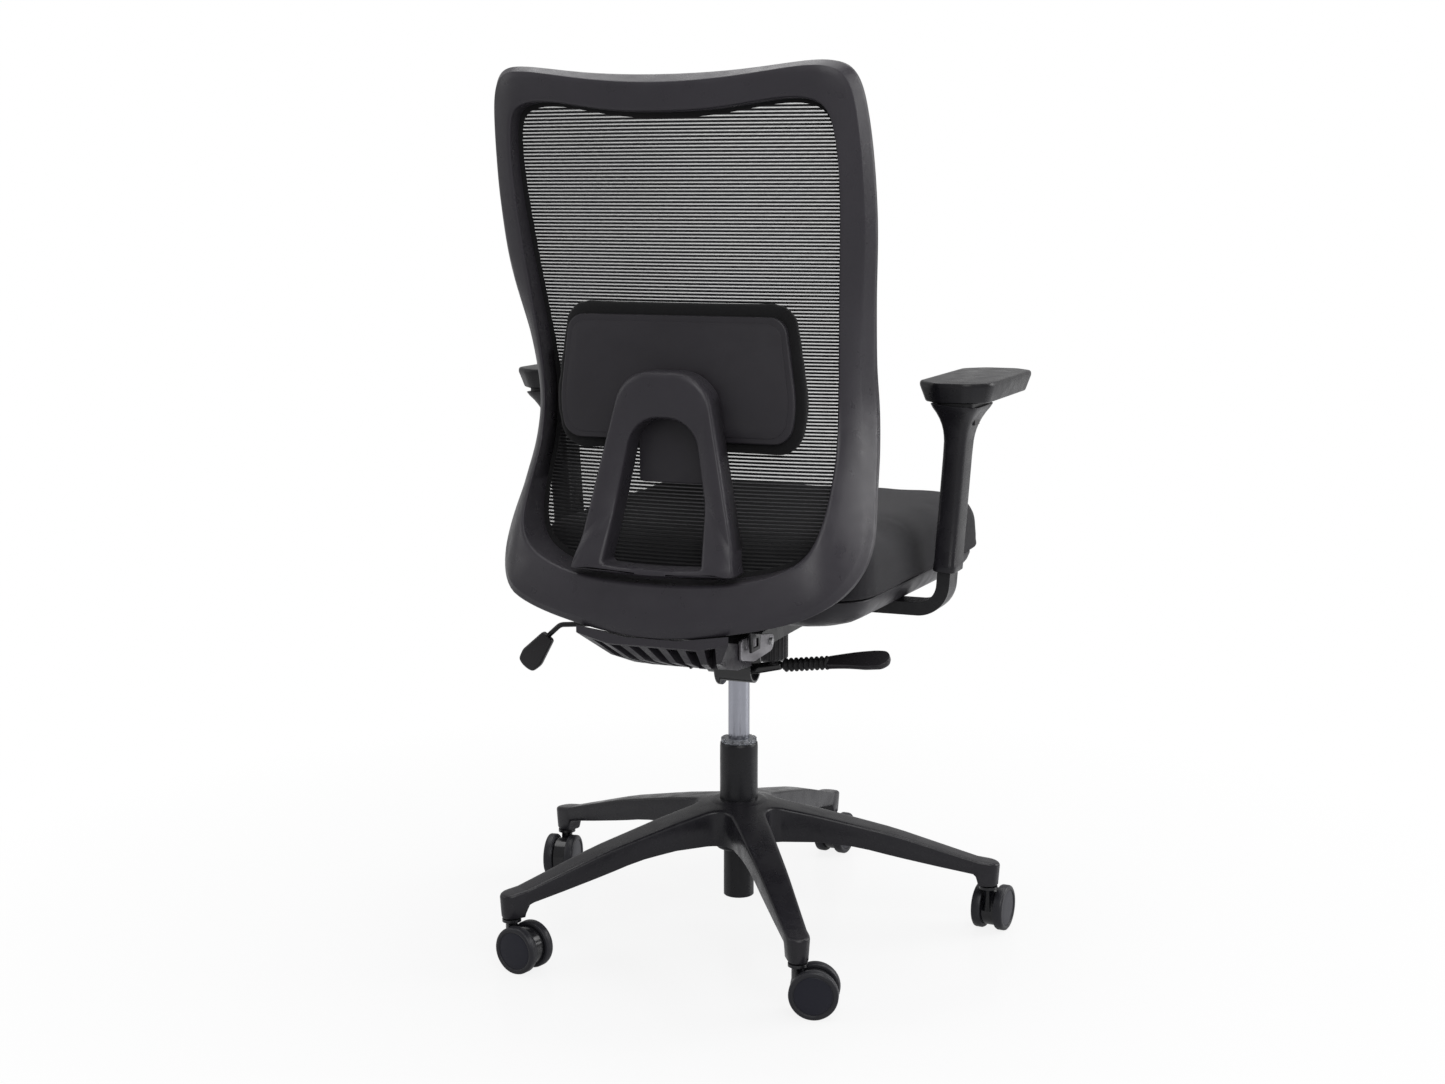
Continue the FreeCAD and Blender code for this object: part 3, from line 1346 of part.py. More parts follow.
def build_lumbar():
    """Arch fixed across the frame's opening, and the pad on its sliding carrier."""
    front, wall, top, bottom = read("arch_front", "arch_wall", "arch_top", "arch_bottom")
    foot, foot_top, head = read("arch_foot_half_width", "arch_foot_top", "arch_head_half_width")
    window_top, window_bottom, window_half, corner = read(
        "arch_window_top", "arch_window_bottom", "arch_window_half_width", "arch_corner"
    )
    outline = mirrored([(head, top), (foot, foot_top), (foot + 7, bottom)])
    arch = plate_across(outline, front - 5, 120, corner, top - 5)
    hole = mirrored([(head * 0.77, window_top), (window_half, window_bottom)])
    window = plate_across(hole, front - 6, 122, corner * 0.87, window_top - 5)
    spine = [
        (bottom - 10, 40),
        (foot_top, 35),
        (foot_top + 21, 24),
        (590, 11),
        (631, 1),
        (680, 0),
        (top - 17, 3),
        (top + 8, 7),
    ]
    curves = []
    for shift in (0, wall):
        curve = Part.BSplineCurve()
        curve.interpolate([Vector(-200, front + shift + lean, z) for z, lean in spine])
        curves.append(curve.toShape())
    profile = Part.Wire([
        curves[0],
        Part.LineSegment(curves[0].Vertexes[-1].Point, curves[1].Vertexes[-1].Point).toShape(),
        curves[1],
        Part.LineSegment(curves[1].Vertexes[0].Point, curves[0].Vertexes[0].Point).toShape(),
    ])
    leaning = Part.Face(profile).extrude(Vector(400, 0, 0))
    room = Part.Face(mirrored_outline(back_outlines()[1], 0.3)).extrude(Vector(0, 400, 0))
    shaped("lumbar_arch", arch.cut(window).common(leaning).common(room))

    c_front, c_wall, c_top, c_bottom = read(
        "carrier_front", "carrier_wall", "carrier_top", "carrier_bottom"
    )
    c_wide, c_narrow, c_corner = read(
        "carrier_top_half_width", "carrier_bottom_half_width", "carrier_corner"
    )
    waist = read("carrier_waist_half_width", "carrier_waist_z")
    plate = plate_across(
        mirrored([(c_wide, c_top), tuple(waist), (c_narrow, c_bottom)]), c_front, c_wall, c_corner
    )
    t_bottom, t_half, t_wall = read("tongue_bottom", "tongue_half_width", "tongue_wall")
    tongue_rear = front - 0.5
    tongue_front = tongue_rear - t_wall
    tongue = Part.makeBox(
        2 * t_half, t_wall, c_bottom + 20 - t_bottom, Vector(-t_half, tongue_front, t_bottom)
    )
    bridge_from = c_front + c_wall - 1
    bridge = Part.makeBox(
        2 * t_half, tongue_rear - bridge_from, 34, Vector(-t_half, bridge_from, c_bottom + 6)
    )
    guide = Part.makeBox(22, wall * 0.4, 20, Vector(-11, tongue_rear - 0.1, t_bottom + 3))
    shaped("lumbar_carrier", plate.fuse([tongue, bridge, guide]).removeSplitter())

    half, p_top, p_bottom, p_front = read(
        "lumbar_pad_half_width", "lumbar_pad_top", "lumbar_pad_bottom", "lumbar_pad_front"
    )
    rear = c_front - 0.3
    middle = (p_top + p_bottom) / 2
    outline = mirrored([(half - 18, p_top), (half, waist[1]), (half - 10, p_bottom)])
    rings = []
    for y, share in ((rear, 1.0), (rear - 12, 1.0), (p_front + 9, 0.86), (p_front, 0.5)):
        smaller = [(x * share, middle + (z - middle) * share) for x, z in outline]
        slice_there = plate_across(smaller, y, 1, size("Sizes.lumbar_pad_corner") * share)
        rings.append(min(slice_there.Faces, key=lambda face: face.CenterOfMass.y).OuterWire)
    shaped("lumbar_pad", Part.makeLoft(rings, True, True))


# ---------------------------------------------------------------- armrests

def arm_axis(side):
    """Direction in which an armrest rises, leaning outwards."""
    lean = math.radians(size("Sizes.arm_lean"))
    return Vector(side * math.sin(lean), 0, math.cos(lean))


def arm_point(side, z):
    """Point of an arm's leaning centre line at a height."""
    x, y, base = read("arm_post_x", "arm_y", "sleeve_bottom")
    axis = arm_axis(side)
    return Vector(side * x, y, base) + axis * ((z - base) / axis.z)


def across_arm(side, z, half_x, half_y, corner):
    """Rounded rectangle across an arm's centre line."""
    centre = arm_point(side, z)
    flat = Part.makePolygon([
        Vector(-half_x, -half_y, 0), Vector(half_x, -half_y, 0), Vector(half_x, half_y, 0),
        Vector(-half_x, half_y, 0), Vector(-half_x, -half_y, 0),
    ])
    block = Part.Face(flat).extrude(Vector(0, 0, 5))
    upright = [e for e in block.Edges if abs(e.tangentAt(e.FirstParameter).z) > 0.9]
    block = block.makeFillet(corner, upright)
    wire = [f for f in block.Faces if f.BoundBox.ZMax < 0.01][0].OuterWire
    wire.Placement = FreeCAD.Placement(centre, FreeCAD.Rotation(Vector(0, 0, 1), arm_axis(side)))
    return wire


def build_arm(side, hand):
    """Bracket, sleeve, plate, pad and button of one armrest."""
    start, bar_z, wall, width, y, elbow = read(
        "arm_bar_start", "arm_bar_z", "arm_bar_wall", "arm_bar_width", "arm_y", "arm_elbow_radius"
    )
    post_top, sleeve_low, sleeve_high = read("arm_post_top", "sleeve_bottom", "sleeve_top")
    begin = Vector(side * start, y, bar_z)
    corner = arm_point(side, bar_z)
    finish = arm_point(side, post_top)
    section = closed_face([
        Vector(side * start, y - width / 2, bar_z - wall / 2), Vector(
            side * start, y + width / 2, bar_z - wall / 2
        ),
        Vector(side * start, y + width / 2, bar_z + wall / 2), Vector(
            side * start, y - width / 2, bar_z + wall / 2
        ),
    ])
    shaped("arm_bracket_" + hand, bent_bar([begin, corner, finish], elbow, section))

    skin, gap, neck = read("sleeve_wall", "sleeve_slide_gap", "sleeve_neck_z")
    head_x, head_y = read("sleeve_head_half_width", "sleeve_head_half_length")
    inner_x = wall / 2 + gap
    inner_y = width / 2 + gap
    outer_x = inner_x + skin
    outer_y = inner_y + skin
    barrel = Part.makeLoft([
        across_arm(side, sleeve_low, outer_x, outer_y, 7),
        across_arm(side, neck, outer_x, outer_y, 7),
    ], True, True)
    head = Part.makeLoft([
        across_arm(side, neck, outer_x, outer_y, 7),
        across_arm(
            side,
            neck + 0.45 * (sleeve_high - neck),
            outer_x + 0.3 * (head_x - outer_x),
            outer_y + 0.3 * (head_y - outer_y),
            8,
        ),
        across_arm(side, sleeve_high, head_x, head_y, 9),
    ], True, False)
    space = Part.makeLoft([
        across_arm(side, sleeve_low - 1, inner_x, inner_y, 0.5),
        across_arm(side, sleeve_high - 12, inner_x, inner_y, 0.5),
    ], True, True)
    b_half, b_height, b_depth, b_z = read("button_half_length", "button_height", "button_depth", "button_z")
    sleeve = barrel.fuse(head).cut(space)
    seat_at = arm_point(side, b_z)
    outside = seat_at.x + side * (outer_x + 0.35 * (head_x - outer_x))
    pocket_low = min(outside - side * b_depth, outside + side * 20)
    button_space = Part.makeBox(
        b_depth + 20,
        2 * b_half + 0.6,
        b_height + 0.6,
        Vector(pocket_low, y - b_half - 0.3, b_z - b_height / 2 - 0.3),
    )
    sleeve = sleeve.cut(button_space)
    shaped("arm_sleeve_" + hand, sleeve)
    button_low = min(outside - side * (b_depth - 3.5), outside + side * 2)
    button = Part.makeBox(
        b_depth - 1.5, 2 * b_half, b_height, Vector(button_low, y - b_half, b_z - b_height / 2)
    )
    shaped("arm_button_" + hand, button)

    pad_top, pad_wall = read("pad_top", "pad_wall")
    half, length, rear, cut_off, bevel = read(
        "pad_half_width", "pad_length", "pad_rear_y", "pad_corner", "pad_bevel"
    )
    pad_bottom = pad_top - pad_wall
    head_centre = arm_point(side, sleeve_high)
    plate_low = head_centre.z + head_x * math.sin(math.radians(size("Sizes.arm_lean"))) + 0.3
    plate = Part.makeBox(
        2 * (head_x + 2), 2 * (head_y + 2), pad_bottom - 0.3 - plate_low,
        Vector(head_centre.x - head_x - 2, y - head_y - 2, plate_low),
    )
    shaped("arm_plate_" + hand, plate)

    pad_x = head_centre.x

    def ring(inset, z):
        w = half - inset
        low = rear - length + inset
        high = rear - inset
        c = cut_off
        spots = [
            Vector(pad_x - w, low + c, z), Vector(pad_x - w + c, low, z), Vector(pad_x + w - c, low, z),
            Vector(pad_x + w, low + c, z), Vector(pad_x + w, high - c, z), Vector(pad_x + w - c, high, z),
            Vector(pad_x - w + c, high, z), Vector(pad_x - w, high - c, z),
        ]
        return Part.makePolygon(spots + [spots[0]])

    body = Part.makeLoft([ring(bevel, pad_bottom), ring(0, pad_top - 5)], True, True)
    cap = Part.makeLoft([ring(0, pad_top - 5), ring(1, pad_top)], True, True)
    shaped("arm_pad_" + hand, body.fuse(cap).removeSplitter())


def check_and_write():
    """Refuse a failed object or an invalid shape, then write one STEP file for each node."""
    doc.recompute()
    for item in doc.Objects:
        if "Invalid" in item.State or "Error" in item.State:
            raise RuntimeError("object %s failed: %s" % (item.Label, item.State))
    for item in NODES:
        if item.Shape.isNull() or not item.Shape.isValid():
            raise RuntimeError("shape of %s is null or not valid" % item.Label)
    os.makedirs("parts", exist_ok=True)
    for item in NODES:
        item.Shape.exportStep("parts/%s.step" % item.Label)
        print("%-24s solids %2d volume %.0f" % (item.Label, len(item.Shape.Solids), item.Shape.Volume))


build_star_base()
build_casters()
build_column()
build_mechanism()
build_height_lever()
build_tilt_lever()
build_seat_plate()
build_seat()
build_back_frame_and_mesh()
build_back_bracket()
build_lumbar()
build_arm(1, "left")
build_arm(-1, "right")
check_and_write()
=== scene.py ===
import json
import logging
import math
from dataclasses import dataclass
from enum import Enum
from typing import Callable, Iterable, Sequence

import bmesh
import bpy
from mathutils import Matrix, Vector


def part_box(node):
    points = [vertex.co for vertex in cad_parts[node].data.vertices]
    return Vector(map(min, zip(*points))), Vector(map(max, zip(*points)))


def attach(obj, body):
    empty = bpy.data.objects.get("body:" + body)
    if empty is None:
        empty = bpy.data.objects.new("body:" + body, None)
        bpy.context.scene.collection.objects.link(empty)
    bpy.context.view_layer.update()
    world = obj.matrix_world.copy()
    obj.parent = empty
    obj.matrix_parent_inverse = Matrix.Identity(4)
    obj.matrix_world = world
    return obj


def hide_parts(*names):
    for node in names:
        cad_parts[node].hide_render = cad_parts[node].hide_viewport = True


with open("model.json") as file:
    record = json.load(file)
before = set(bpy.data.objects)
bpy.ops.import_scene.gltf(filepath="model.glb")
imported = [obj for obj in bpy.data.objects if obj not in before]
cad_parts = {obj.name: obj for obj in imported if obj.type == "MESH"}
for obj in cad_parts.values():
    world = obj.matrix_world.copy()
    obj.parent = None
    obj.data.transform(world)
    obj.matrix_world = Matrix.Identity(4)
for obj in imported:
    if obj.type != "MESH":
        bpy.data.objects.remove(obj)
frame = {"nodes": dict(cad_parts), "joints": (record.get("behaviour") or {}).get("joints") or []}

log = logging.getLogger("swivel_chair")
Point = tuple[float, ...]
Line = Sequence[Point]
Table = tuple[Point, ...]
Mesh = bmesh.types.BMesh
Edge = bmesh.types.BMEdge
Piece = bpy.types.Object
Socket = bpy.types.NodeSocket
WELD = 0.000004


class Hand(Enum):
    """Side of the chair and the sign of its X."""

    LEFT = 1
    RIGHT = -1

    @property
    def word(self) -> str:
        """Side's name as the CAD nodes spell it."""
        return self.name.lower()


class Surface(Enum):
    """Kinds of relief that a finish can have."""

    GRAIN = "grain"
    WEAVE = "weave"
    BRUSHED = "brushed"


# ---------------------------------------------------------------- shader nodes

class Wiring:
    """Node tree with short ways to add and join nodes."""

    def __init__(self, tree: bpy.types.NodeTree) -> None:
        """Keeps the tree."""
        self.tree = tree

    def add(self, kind: str, **settings: object) -> bpy.types.Node:
        """Adds a node.

        Args:
            kind: node type without its ShaderNode prefix.
            settings: attributes of the node; a name that is a socket sets its value.

        Returns:
            The new node.
        """
        made = self.tree.nodes.new("ShaderNode" + kind)
        for name, value in settings.items():
            if hasattr(made, name):
                setattr(made, name, value)
            else:
                self.feed(value, made.inputs[name.replace("_", " ")])
        return made

    def feed(self, value: object, socket: Socket) -> None:
        """Links a socket to an input, or sets the input's own value."""
        if isinstance(value, Socket):
            self.tree.links.new(value, socket)
        else:
            socket.default_value = value

    def maths(self, operation: str, *values: object) -> Socket:
        """Adds a Math node on its values and returns its result."""
        made = self.add("Math", operation=operation)
        for value, socket in zip(values, made.inputs):
            self.feed(value, socket)
        return made.outputs[0]

    def plus(self, first: object, second: object) -> Socket:
        """Sum of two values."""
        return self.maths("ADD", first, second)

    def times(self, first: object, second: object) -> Socket:
        """Product of two values."""
        return self.maths("MULTIPLY", first, second)

    def parts(self, vector: Socket) -> Sequence[Socket]:
        """X, Y and Z of a vector."""
        split = self.add("SeparateXYZ")
        self.feed(vector, split.inputs[0])
        return split.outputs

    def spread(self, value: object, *ends: object) -> Socket:
        """Maps a value from one range onto another (0 to 1 by default), clamped."""
        made = self.add("MapRange")
        for item, socket in zip((value, *ends), made.inputs):
            self.feed(item, socket)
        return made.outputs[0]

    def blend(self, share: object, first: object, second: object) -> Socket:
        """Mixes two colours by a share and returns the colour."""
        made = self.add("Mix", data_type="RGBA")
        for item, place in ((share, 0), (first, 6), (second, 7)):
            self.feed(item, made.inputs[place])
        return made.outputs[2]

    def noise(self, scale: object, detail: float = 2.0, vector: object = None) -> Socket:
        """Adds a Noise Texture, on Object coordinates by default, and returns its value."""
        return self.add("TexNoise", Vector=vector or self.place(), Scale=scale, Detail=detail).outputs[0]

    def place(self) -> Socket:
        """Object coordinates."""
        return self.add("TexCoord").outputs["Object"]


def new_group(
    name: str, given: tuple[str, float], outputs: Iterable[str],
    recipe: Callable[[Wiring, Socket], Iterable[Socket]],
) -> bpy.types.NodeTree:
    """Makes a shader node group with one number input.

    Args:
        name: group's name.
        given: the input's name and its usual value.
        outputs: names of the number outputs.
        recipe: adds the group's nodes and gives the sockets of its outputs.

    Returns:
        The group.
    """
    tree = bpy.data.node_groups.new(name, "ShaderNodeTree")
    label, usual = given
    tree.interface.new_socket(label, in_out="INPUT", socket_type="NodeSocketFloat").default_value = usual
    for label in outputs:
        tree.interface.new_socket(label, in_out="OUTPUT", socket_type="NodeSocketFloat")
    start, end = tree.nodes.new("NodeGroupInput"), tree.nodes.new("NodeGroupOutput")
    wires = Wiring(tree)
    for value, socket in zip(recipe(wires, start.outputs[0]), end.inputs):
        wires.feed(value, socket)
    return tree


def grain(wires: Wiring, scale: Socket) -> tuple[Socket, ...]:
    """Moulded grain: fine pebbles, and slow changes of tone and gloss."""
    pebbles = wires.add("TexVoronoi", feature="F1", Vector=wires.place(), Scale=scale)
    fine = wires.noise(wires.times(scale, 1.7), 3.0)
    height = wires.plus(wires.times(pebbles.outputs["Distance"], 0.6), fine)
    slow = wires.plus(wires.noise(11.0, 4.0), wires.times(fine, 0.35))
    return height, wires.spread(slow, 0.45, 0.95), wires.noise(48.0, 5.0)


def weave(wires: Wiring, scale: Socket) -> tuple[Socket, ...]:
    """Plain weave read on the three sides of a piece, with uneven threads."""
    uneven = wires.times(wires.noise(160.0, 2.0), 1.6)
    threads = wires.parts(wires.place())
    waves = [wires.maths("SINE", wires.plus(wires.times(thread, scale), uneven)) for thread in threads]
    facing = wires.parts(wires.add("NewGeometry").outputs["Normal"])
    total: object = 0.0
    for i in range(3):
        crossing = wires.times(waves[(i + 1) % 3], waves[(i + 2) % 3])
        share = wires.maths("POWER", wires.maths("ABSOLUTE", facing[i]), 3.0)
        total = wires.plus(total, wires.times(crossing, share))
    fibre = wires.noise(2600.0, 3.0)
    patch = wires.plus(wires.noise(14.0, 5.0), wires.times(wires.plus(total, fibre), 0.3))
    return wires.plus(wires.times(total, 0.5), fibre), wires.spread(patch, 0.35, 0.95), fibre


def brushed(wires: Wiring, scale: Socket) -> tuple[Socket, ...]:
    """Fine lines of drawn or turned metal, round the upright axis."""
    x, y, z = wires.parts(wires.place())
    joined = wires.add("CombineXYZ")
    for part, socket in zip((wires.times(x, 0.05), wires.times(y, 0.05), z), joined.inputs):
        wires.feed(part, socket)
    lines = wires.noise(scale, 4.0, joined.outputs[0])
    return lines, wires.noise(30.0, 3.0), wires.plus(wires.times(lines, 0.6), wires.noise(75.0, 4.0))


def wear(wires: Wiring, reach: Socket) -> tuple[Socket, ...]:
    """Rubbed edges and the dust that settles on faces that look up."""
    geometry = wires.add("NewGeometry")
    broken = wires.spread(wires.noise(140.0, 5.0), 0.42, 0.62)
    sharp = wires.spread(geometry.outputs["Pointiness"], 0.52, wires.plus(0.52, reach))
    up = wires.spread(wires.parts(geometry.outputs["Normal"])[2], 0.35, 1.0)
    drift = wires.spread(wires.noise(26.0, 6.0), 0.35, 0.75)
    return wires.times(sharp, broken), wires.times(up, drift)


RELIEF = ("Height", "Tone", "Gloss")
GROUPS: dict[object, bpy.types.NodeTree] = {
    Surface.GRAIN: new_group("moulded_grain", ("Scale", 1500.0), RELIEF, grain),
    Surface.WEAVE: new_group("cloth_weave", ("Scale", 4200.0), RELIEF, weave),
    Surface.BRUSHED: new_group("brushed_metal", ("Scale", 900.0), RELIEF, brushed),
    "wear": new_group("edge_wear_and_dust", ("Reach", 0.06), ("Edge", "Dust"), wear),
}
DUST = (0.16, 0.155, 0.15, 1.0)


@dataclass(frozen=True)
class Finish:
    """Material of one kind of piece.

    Attributes:
        slot: material slot of the record that the finish belongs to.
        colour: middle colour.
        roughness: middle roughness.
        surface: kind of relief.
        scale: how fine the relief is, per metre.
        relief: height of the relief in metres.
        tone: how far the colour goes up and down from the middle one.
        wear: strength of the rubbed edges.
        dust: strength of the settled dust.
        edge: radius in metres at which sharp edges look rounded.
    """

    slot: str
    colour: Point
    roughness: float
    surface: Surface = Surface.GRAIN
    scale: float = 1500.0
    relief: float = 0.00006
    tone: float = 0.08
    metallic: float = 0.0
    coat: float = 0.0
    sheen: float = 0.0
    transmission: float = 0.0
    specular: float = 0.35
    wear: float = 0.07
    dust: float = 0.04
    edge: float = 0.0006
    gloss: float = 0.12
    suffix: str = ""

    @property
    def name(self) -> str:
        """Material's name."""
        return self.slot + self.suffix + "_finish"

    def shade(self, factor: float) -> Point:
        """Middle colour made lighter or darker."""
        return (*(min(1.0, c * factor) for c in self.colour), 1.0)

    def material(self) -> bpy.types.Material:
        """Makes the material the first time, and returns it.

        Returns:
            Material with the finish's relief, tone, wear and dust.
        """
        if self.name in bpy.data.materials:
            return bpy.data.materials[self.name]
        made = bpy.data.materials.new(self.name)
        made.use_nodes = True
        wires = Wiring(made.node_tree)
        texture = wires.add("Group", node_tree=GROUPS[self.surface], Scale=self.scale).outputs
        worn = wires.add("Group", node_tree=GROUPS["wear"]).outputs
        colour = wires.blend(texture["Tone"], self.shade(1 - self.tone), self.shade(1 + self.tone))
        rubbed = wires.times(worn["Edge"], self.wear)
        colour = wires.blend(rubbed, colour, (*(0.7 * c + 0.05 for c in self.colour), 1.0))
        dusty = wires.times(worn["Dust"], self.dust)
        low, high = max(0.03, self.roughness - self.gloss), min(1.0, self.roughness + self.gloss)
        gloss = wires.spread(texture["Gloss"], 0.3, 0.8, low, high)
        bump = wires.add("Bump", Distance=self.relief, Height=texture["Height"], Strength=1.0)
        if self.edge > 0:
            corner = wires.add("Bevel", samples=4, Radius=self.edge)
            wires.feed(corner.outputs[0], bump.inputs["Normal"])
        settings = {
            "Base Color": wires.blend(dusty, colour, DUST), "Normal": bump.outputs[0],
            "Roughness": wires.plus(gloss, wires.times(dusty, 0.5)), "Metallic": self.metallic,
            "Coat Weight": self.coat, "Coat Roughness": 0.12, "Specular IOR Level": self.specular,
            "Sheen Weight": self.sheen, "Sheen Roughness": 0.5, "Transmission Weight": self.transmission,
        }
        for label, value in settings.items():
            wires.feed(value, made.node_tree.nodes["Principled BSDF"].inputs[label])
        return made


def cloth(slot: str, colour: Point, roughness: float, *relief: float, **other: float) -> Finish:
    """Finish of woven thread, with no rubbed edges; `relief` is its scale, relief and tone."""
    usual = {"dust": 0.02, "wear": 0.0, "edge": 0.0}
    return Finish(slot, colour, roughness, Surface.WEAVE, *relief, **{**usual, **other})


def metal(slot: str, colour: Point, roughness: float, *relief: float, **other: float) -> Finish:
    """Finish of bare metal with fine lines, described as for `cloth`."""
    usual = {"metallic": 1.0, "dust": 0.05, "wear": 0.0}
    return Finish(slot, colour, roughness, Surface.BRUSHED, *relief, **{**usual, **other})


BASE_PLASTIC = Finish("base_plastic", (0.021, 0.02, 0.0245), 0.3, relief=0.00003)
FRAME_PLASTIC = Finish("frame_plastic", (0.044, 0.0405, 0.0485), 0.36, scale=1900.0, edge=0.0)
DARK_PLASTIC = Finish("frame_plastic", (0.03, 0.0275, 0.033), 0.42, scale=1900.0, suffix="_dark")
ARM_PLASTIC = Finish("frame_plastic", (0.016, 0.015, 0.0185), 0.28, scale=1900.0, suffix="_arm")
SHELL_PLASTIC = Finish("shell_plastic", (0.034, 0.032, 0.037), 0.4)
KNOB_PLASTIC = Finish("knob_plastic", (0.03, 0.028, 0.031), 0.24, relief=0.00003)
CASTER_PLASTIC = Finish("caster_plastic", (0.009, 0.009, 0.0115), 0.22, relief=0.00002, coat=0.3)
WHEEL_TREAD = Finish("wheel_tread", (0.024, 0.024, 0.029), 0.4, relief=0.00003, wear=0.05, dust=0.01)
WHEEL_DISC = Finish(
    "wheel_tread", (0.0085, 0.009, 0.0185), 0.34,
    relief=0.00002, tone=0.03, wear=0.0, dust=0.0, gloss=0.03, suffix="_disc",
)
COLUMN_PAINT = Finish("column_paint", (0.013, 0.013, 0.016), 0.32, relief=0.00002)
BLACK_PAINT = Finish("black_paint", (0.01, 0.0098, 0.0115), 0.32, relief=0.00002)
GLOSS_PAINT = Finish(
    "black_paint", (0.01, 0.01, 0.011), 0.14, relief=0.00001, coat=0.6, gloss=0.05, suffix="_gloss",
)
RUBBER = Finish("bellows_rubber", (0.011, 0.0108, 0.012), 0.55, relief=0.00004)
ARM_SOFT = Finish("arm_pad_soft", (0.012, 0.0115, 0.014), 0.34, scale=2400.0, relief=0.00004, edge=0.001)
CLEAR = Finish("bush_clear", (0.62, 0.64, 0.68), 0.18, relief=0.00001, tone=0.05, wear=0.0, transmission=0.55)
SEAT_CLOTH = cloth("seat_fabric", (0.02, 0.019, 0.0225), 0.86, 4200.0, 0.0003, 0.22, sheen=0.08, gloss=0.08)
PAD_CLOTH = cloth("pad_fabric", (0.0045, 0.0043, 0.0052), 0.9, 5200.0, 0.00025, 0.22, sheen=0.12, gloss=0.06)
NET_THREAD = cloth("back_net", (0.012, 0.0118, 0.013), 0.62, 6400.0, 0.00012, 0.25, dust=0.0)
CHROME = metal("chrome", (0.42, 0.43, 0.48), 0.2, 700.0, 0.000004, 0.04, dust=0.02, gloss=0.06)
STEEL = metal("steel", (0.5, 0.5, 0.51), 0.3, 900.0, 0.00001, 0.08)
ZINC = metal("zinc", (0.42, 0.41, 0.43), 0.4, 500.0, 0.00002, 0.08, metallic=0.75)


# ---------------------------------------------------------------- mesh tools

def settle(bm: Mesh, name: str, smooth: float = 32.0, orient: bool = True) -> Piece:
    """Closes a mesh's doubles, turns its faces outwards and makes its object.

    Args:
        bm: mesh; it is freed.
        name: object's name.
        smooth: edges that turn by more than this many degrees stay sharp.
        orient: whether the normals are worked out again.

    Returns:
        Object at the origin, linked to the scene.
    """
    bmesh.ops.remove_doubles(bm, verts=bm.verts, dist=WELD)
    if orient:
        bmesh.ops.recalc_face_normals(bm, faces=bm.faces)
    mesh = bpy.data.meshes.new(name)
    bm.to_mesh(mesh)
    bm.free()
    mesh.shade_smooth()
    mesh.set_sharp_from_angle(angle=math.radians(smooth))
    return linked(name, mesh)


def linked(name: str, data: bpy.types.ID) -> Piece:
    """Makes an object of some data and links it to the scene."""
    made = bpy.data.objects.new(name, data)
    bpy.context.scene.collection.objects.link(made)
    return made


def dress(piece: Piece, finish: Finish, body: str, *nodes: str) -> Piece:
    """Gives a piece its finish and body, and lets it stand for CAD nodes."""
    piece.data.materials.append(finish.material())
    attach(piece, body)
    if nodes:
        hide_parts(*nodes)
    return piece


def edge_ring(bm: Mesh, points: Line, closed: bool = True) -> list[Edge]:
    """Adds a chain of edges through points, closed or open, and returns the edges."""
    verts = [bm.verts.new(point) for point in points]
    ends = verts[1:] + verts[:1] if closed else verts[1:]
    return [bm.edges.new(pair) for pair in zip(verts, ends)]


def bridged(bm: Mesh, chains: Sequence[list[Edge]]) -> None:
    """Bridges rings of edges, each to the next one."""
    for first, second in zip(chains, chains[1:]):
        bmesh.ops.bridge_loops(bm, edges=first + second)


def lofted(rings: Sequence[Line]) -> Mesh:
    """Bridges closed rings one after another, and the last to the first."""
    bm = bmesh.new()
    chains = [edge_ring(bm, ring) for ring in rings]
    bridged(bm, chains + chains[:1])
    return bm


def turned(profile: Line, steps: int, closed: bool = False) -> Mesh:
    """Spins a profile of (radius, height) round the upright axis.

    Args:
        profile: points from one end to the other.
        steps: steps round the axis.
        closed: whether the profile is a ring, as a tube's wall is.

    Returns:
        Mesh round the origin.
    """
    bm = bmesh.new()
    chain = edge_ring(bm, [(radius, 0.0, height) for radius, height in profile], closed)
    bmesh.ops.spin(
        bm, geom=bm.verts[:] + chain, cent=(0, 0, 0), axis=(0, 0, 1),
        angle=math.tau, steps=steps, use_merge=True, use_duplicate=False,
    )
    bmesh.ops.remove_doubles(bm, verts=bm.verts, dist=WELD)
    return bm


def bevelled(bm: Mesh, geom: list, radius: float, steps: int, affect: str) -> Mesh:
    """Rounds some corners (VERTICES) or edges (EDGES) of a mesh with facets."""
    bmesh.ops.bevel(
        bm, geom=geom, offset=radius, offset_type="OFFSET", segments=steps,
        profile=0.5, affect=affect, material=-1, clamp_overlap=True,
    )
    return bm


def flat(points: Line) -> Mesh:
    """Flat face in the XY plane."""
    bm = bmesh.new()
    bm.faces.new([bm.verts.new((*point, 0.0)) for point in points])
    return bm


def outline(points: Line, radius: float, steps: int) -> Mesh:
    """Flat face in the XY plane with rounded corners."""
    bm = flat(points)
    return bevelled(bm, bm.verts[:], radius, steps, "VERTICES")


def rectangle(half: float, low: float, high: float, radius: float, steps: int) -> Mesh:
    """Flat face as wide on both sides of X = 0, from one Y to another, with rounded corners."""
    return outline(((-half, low), (half, low), (half, high), (-half, high)), radius, steps)


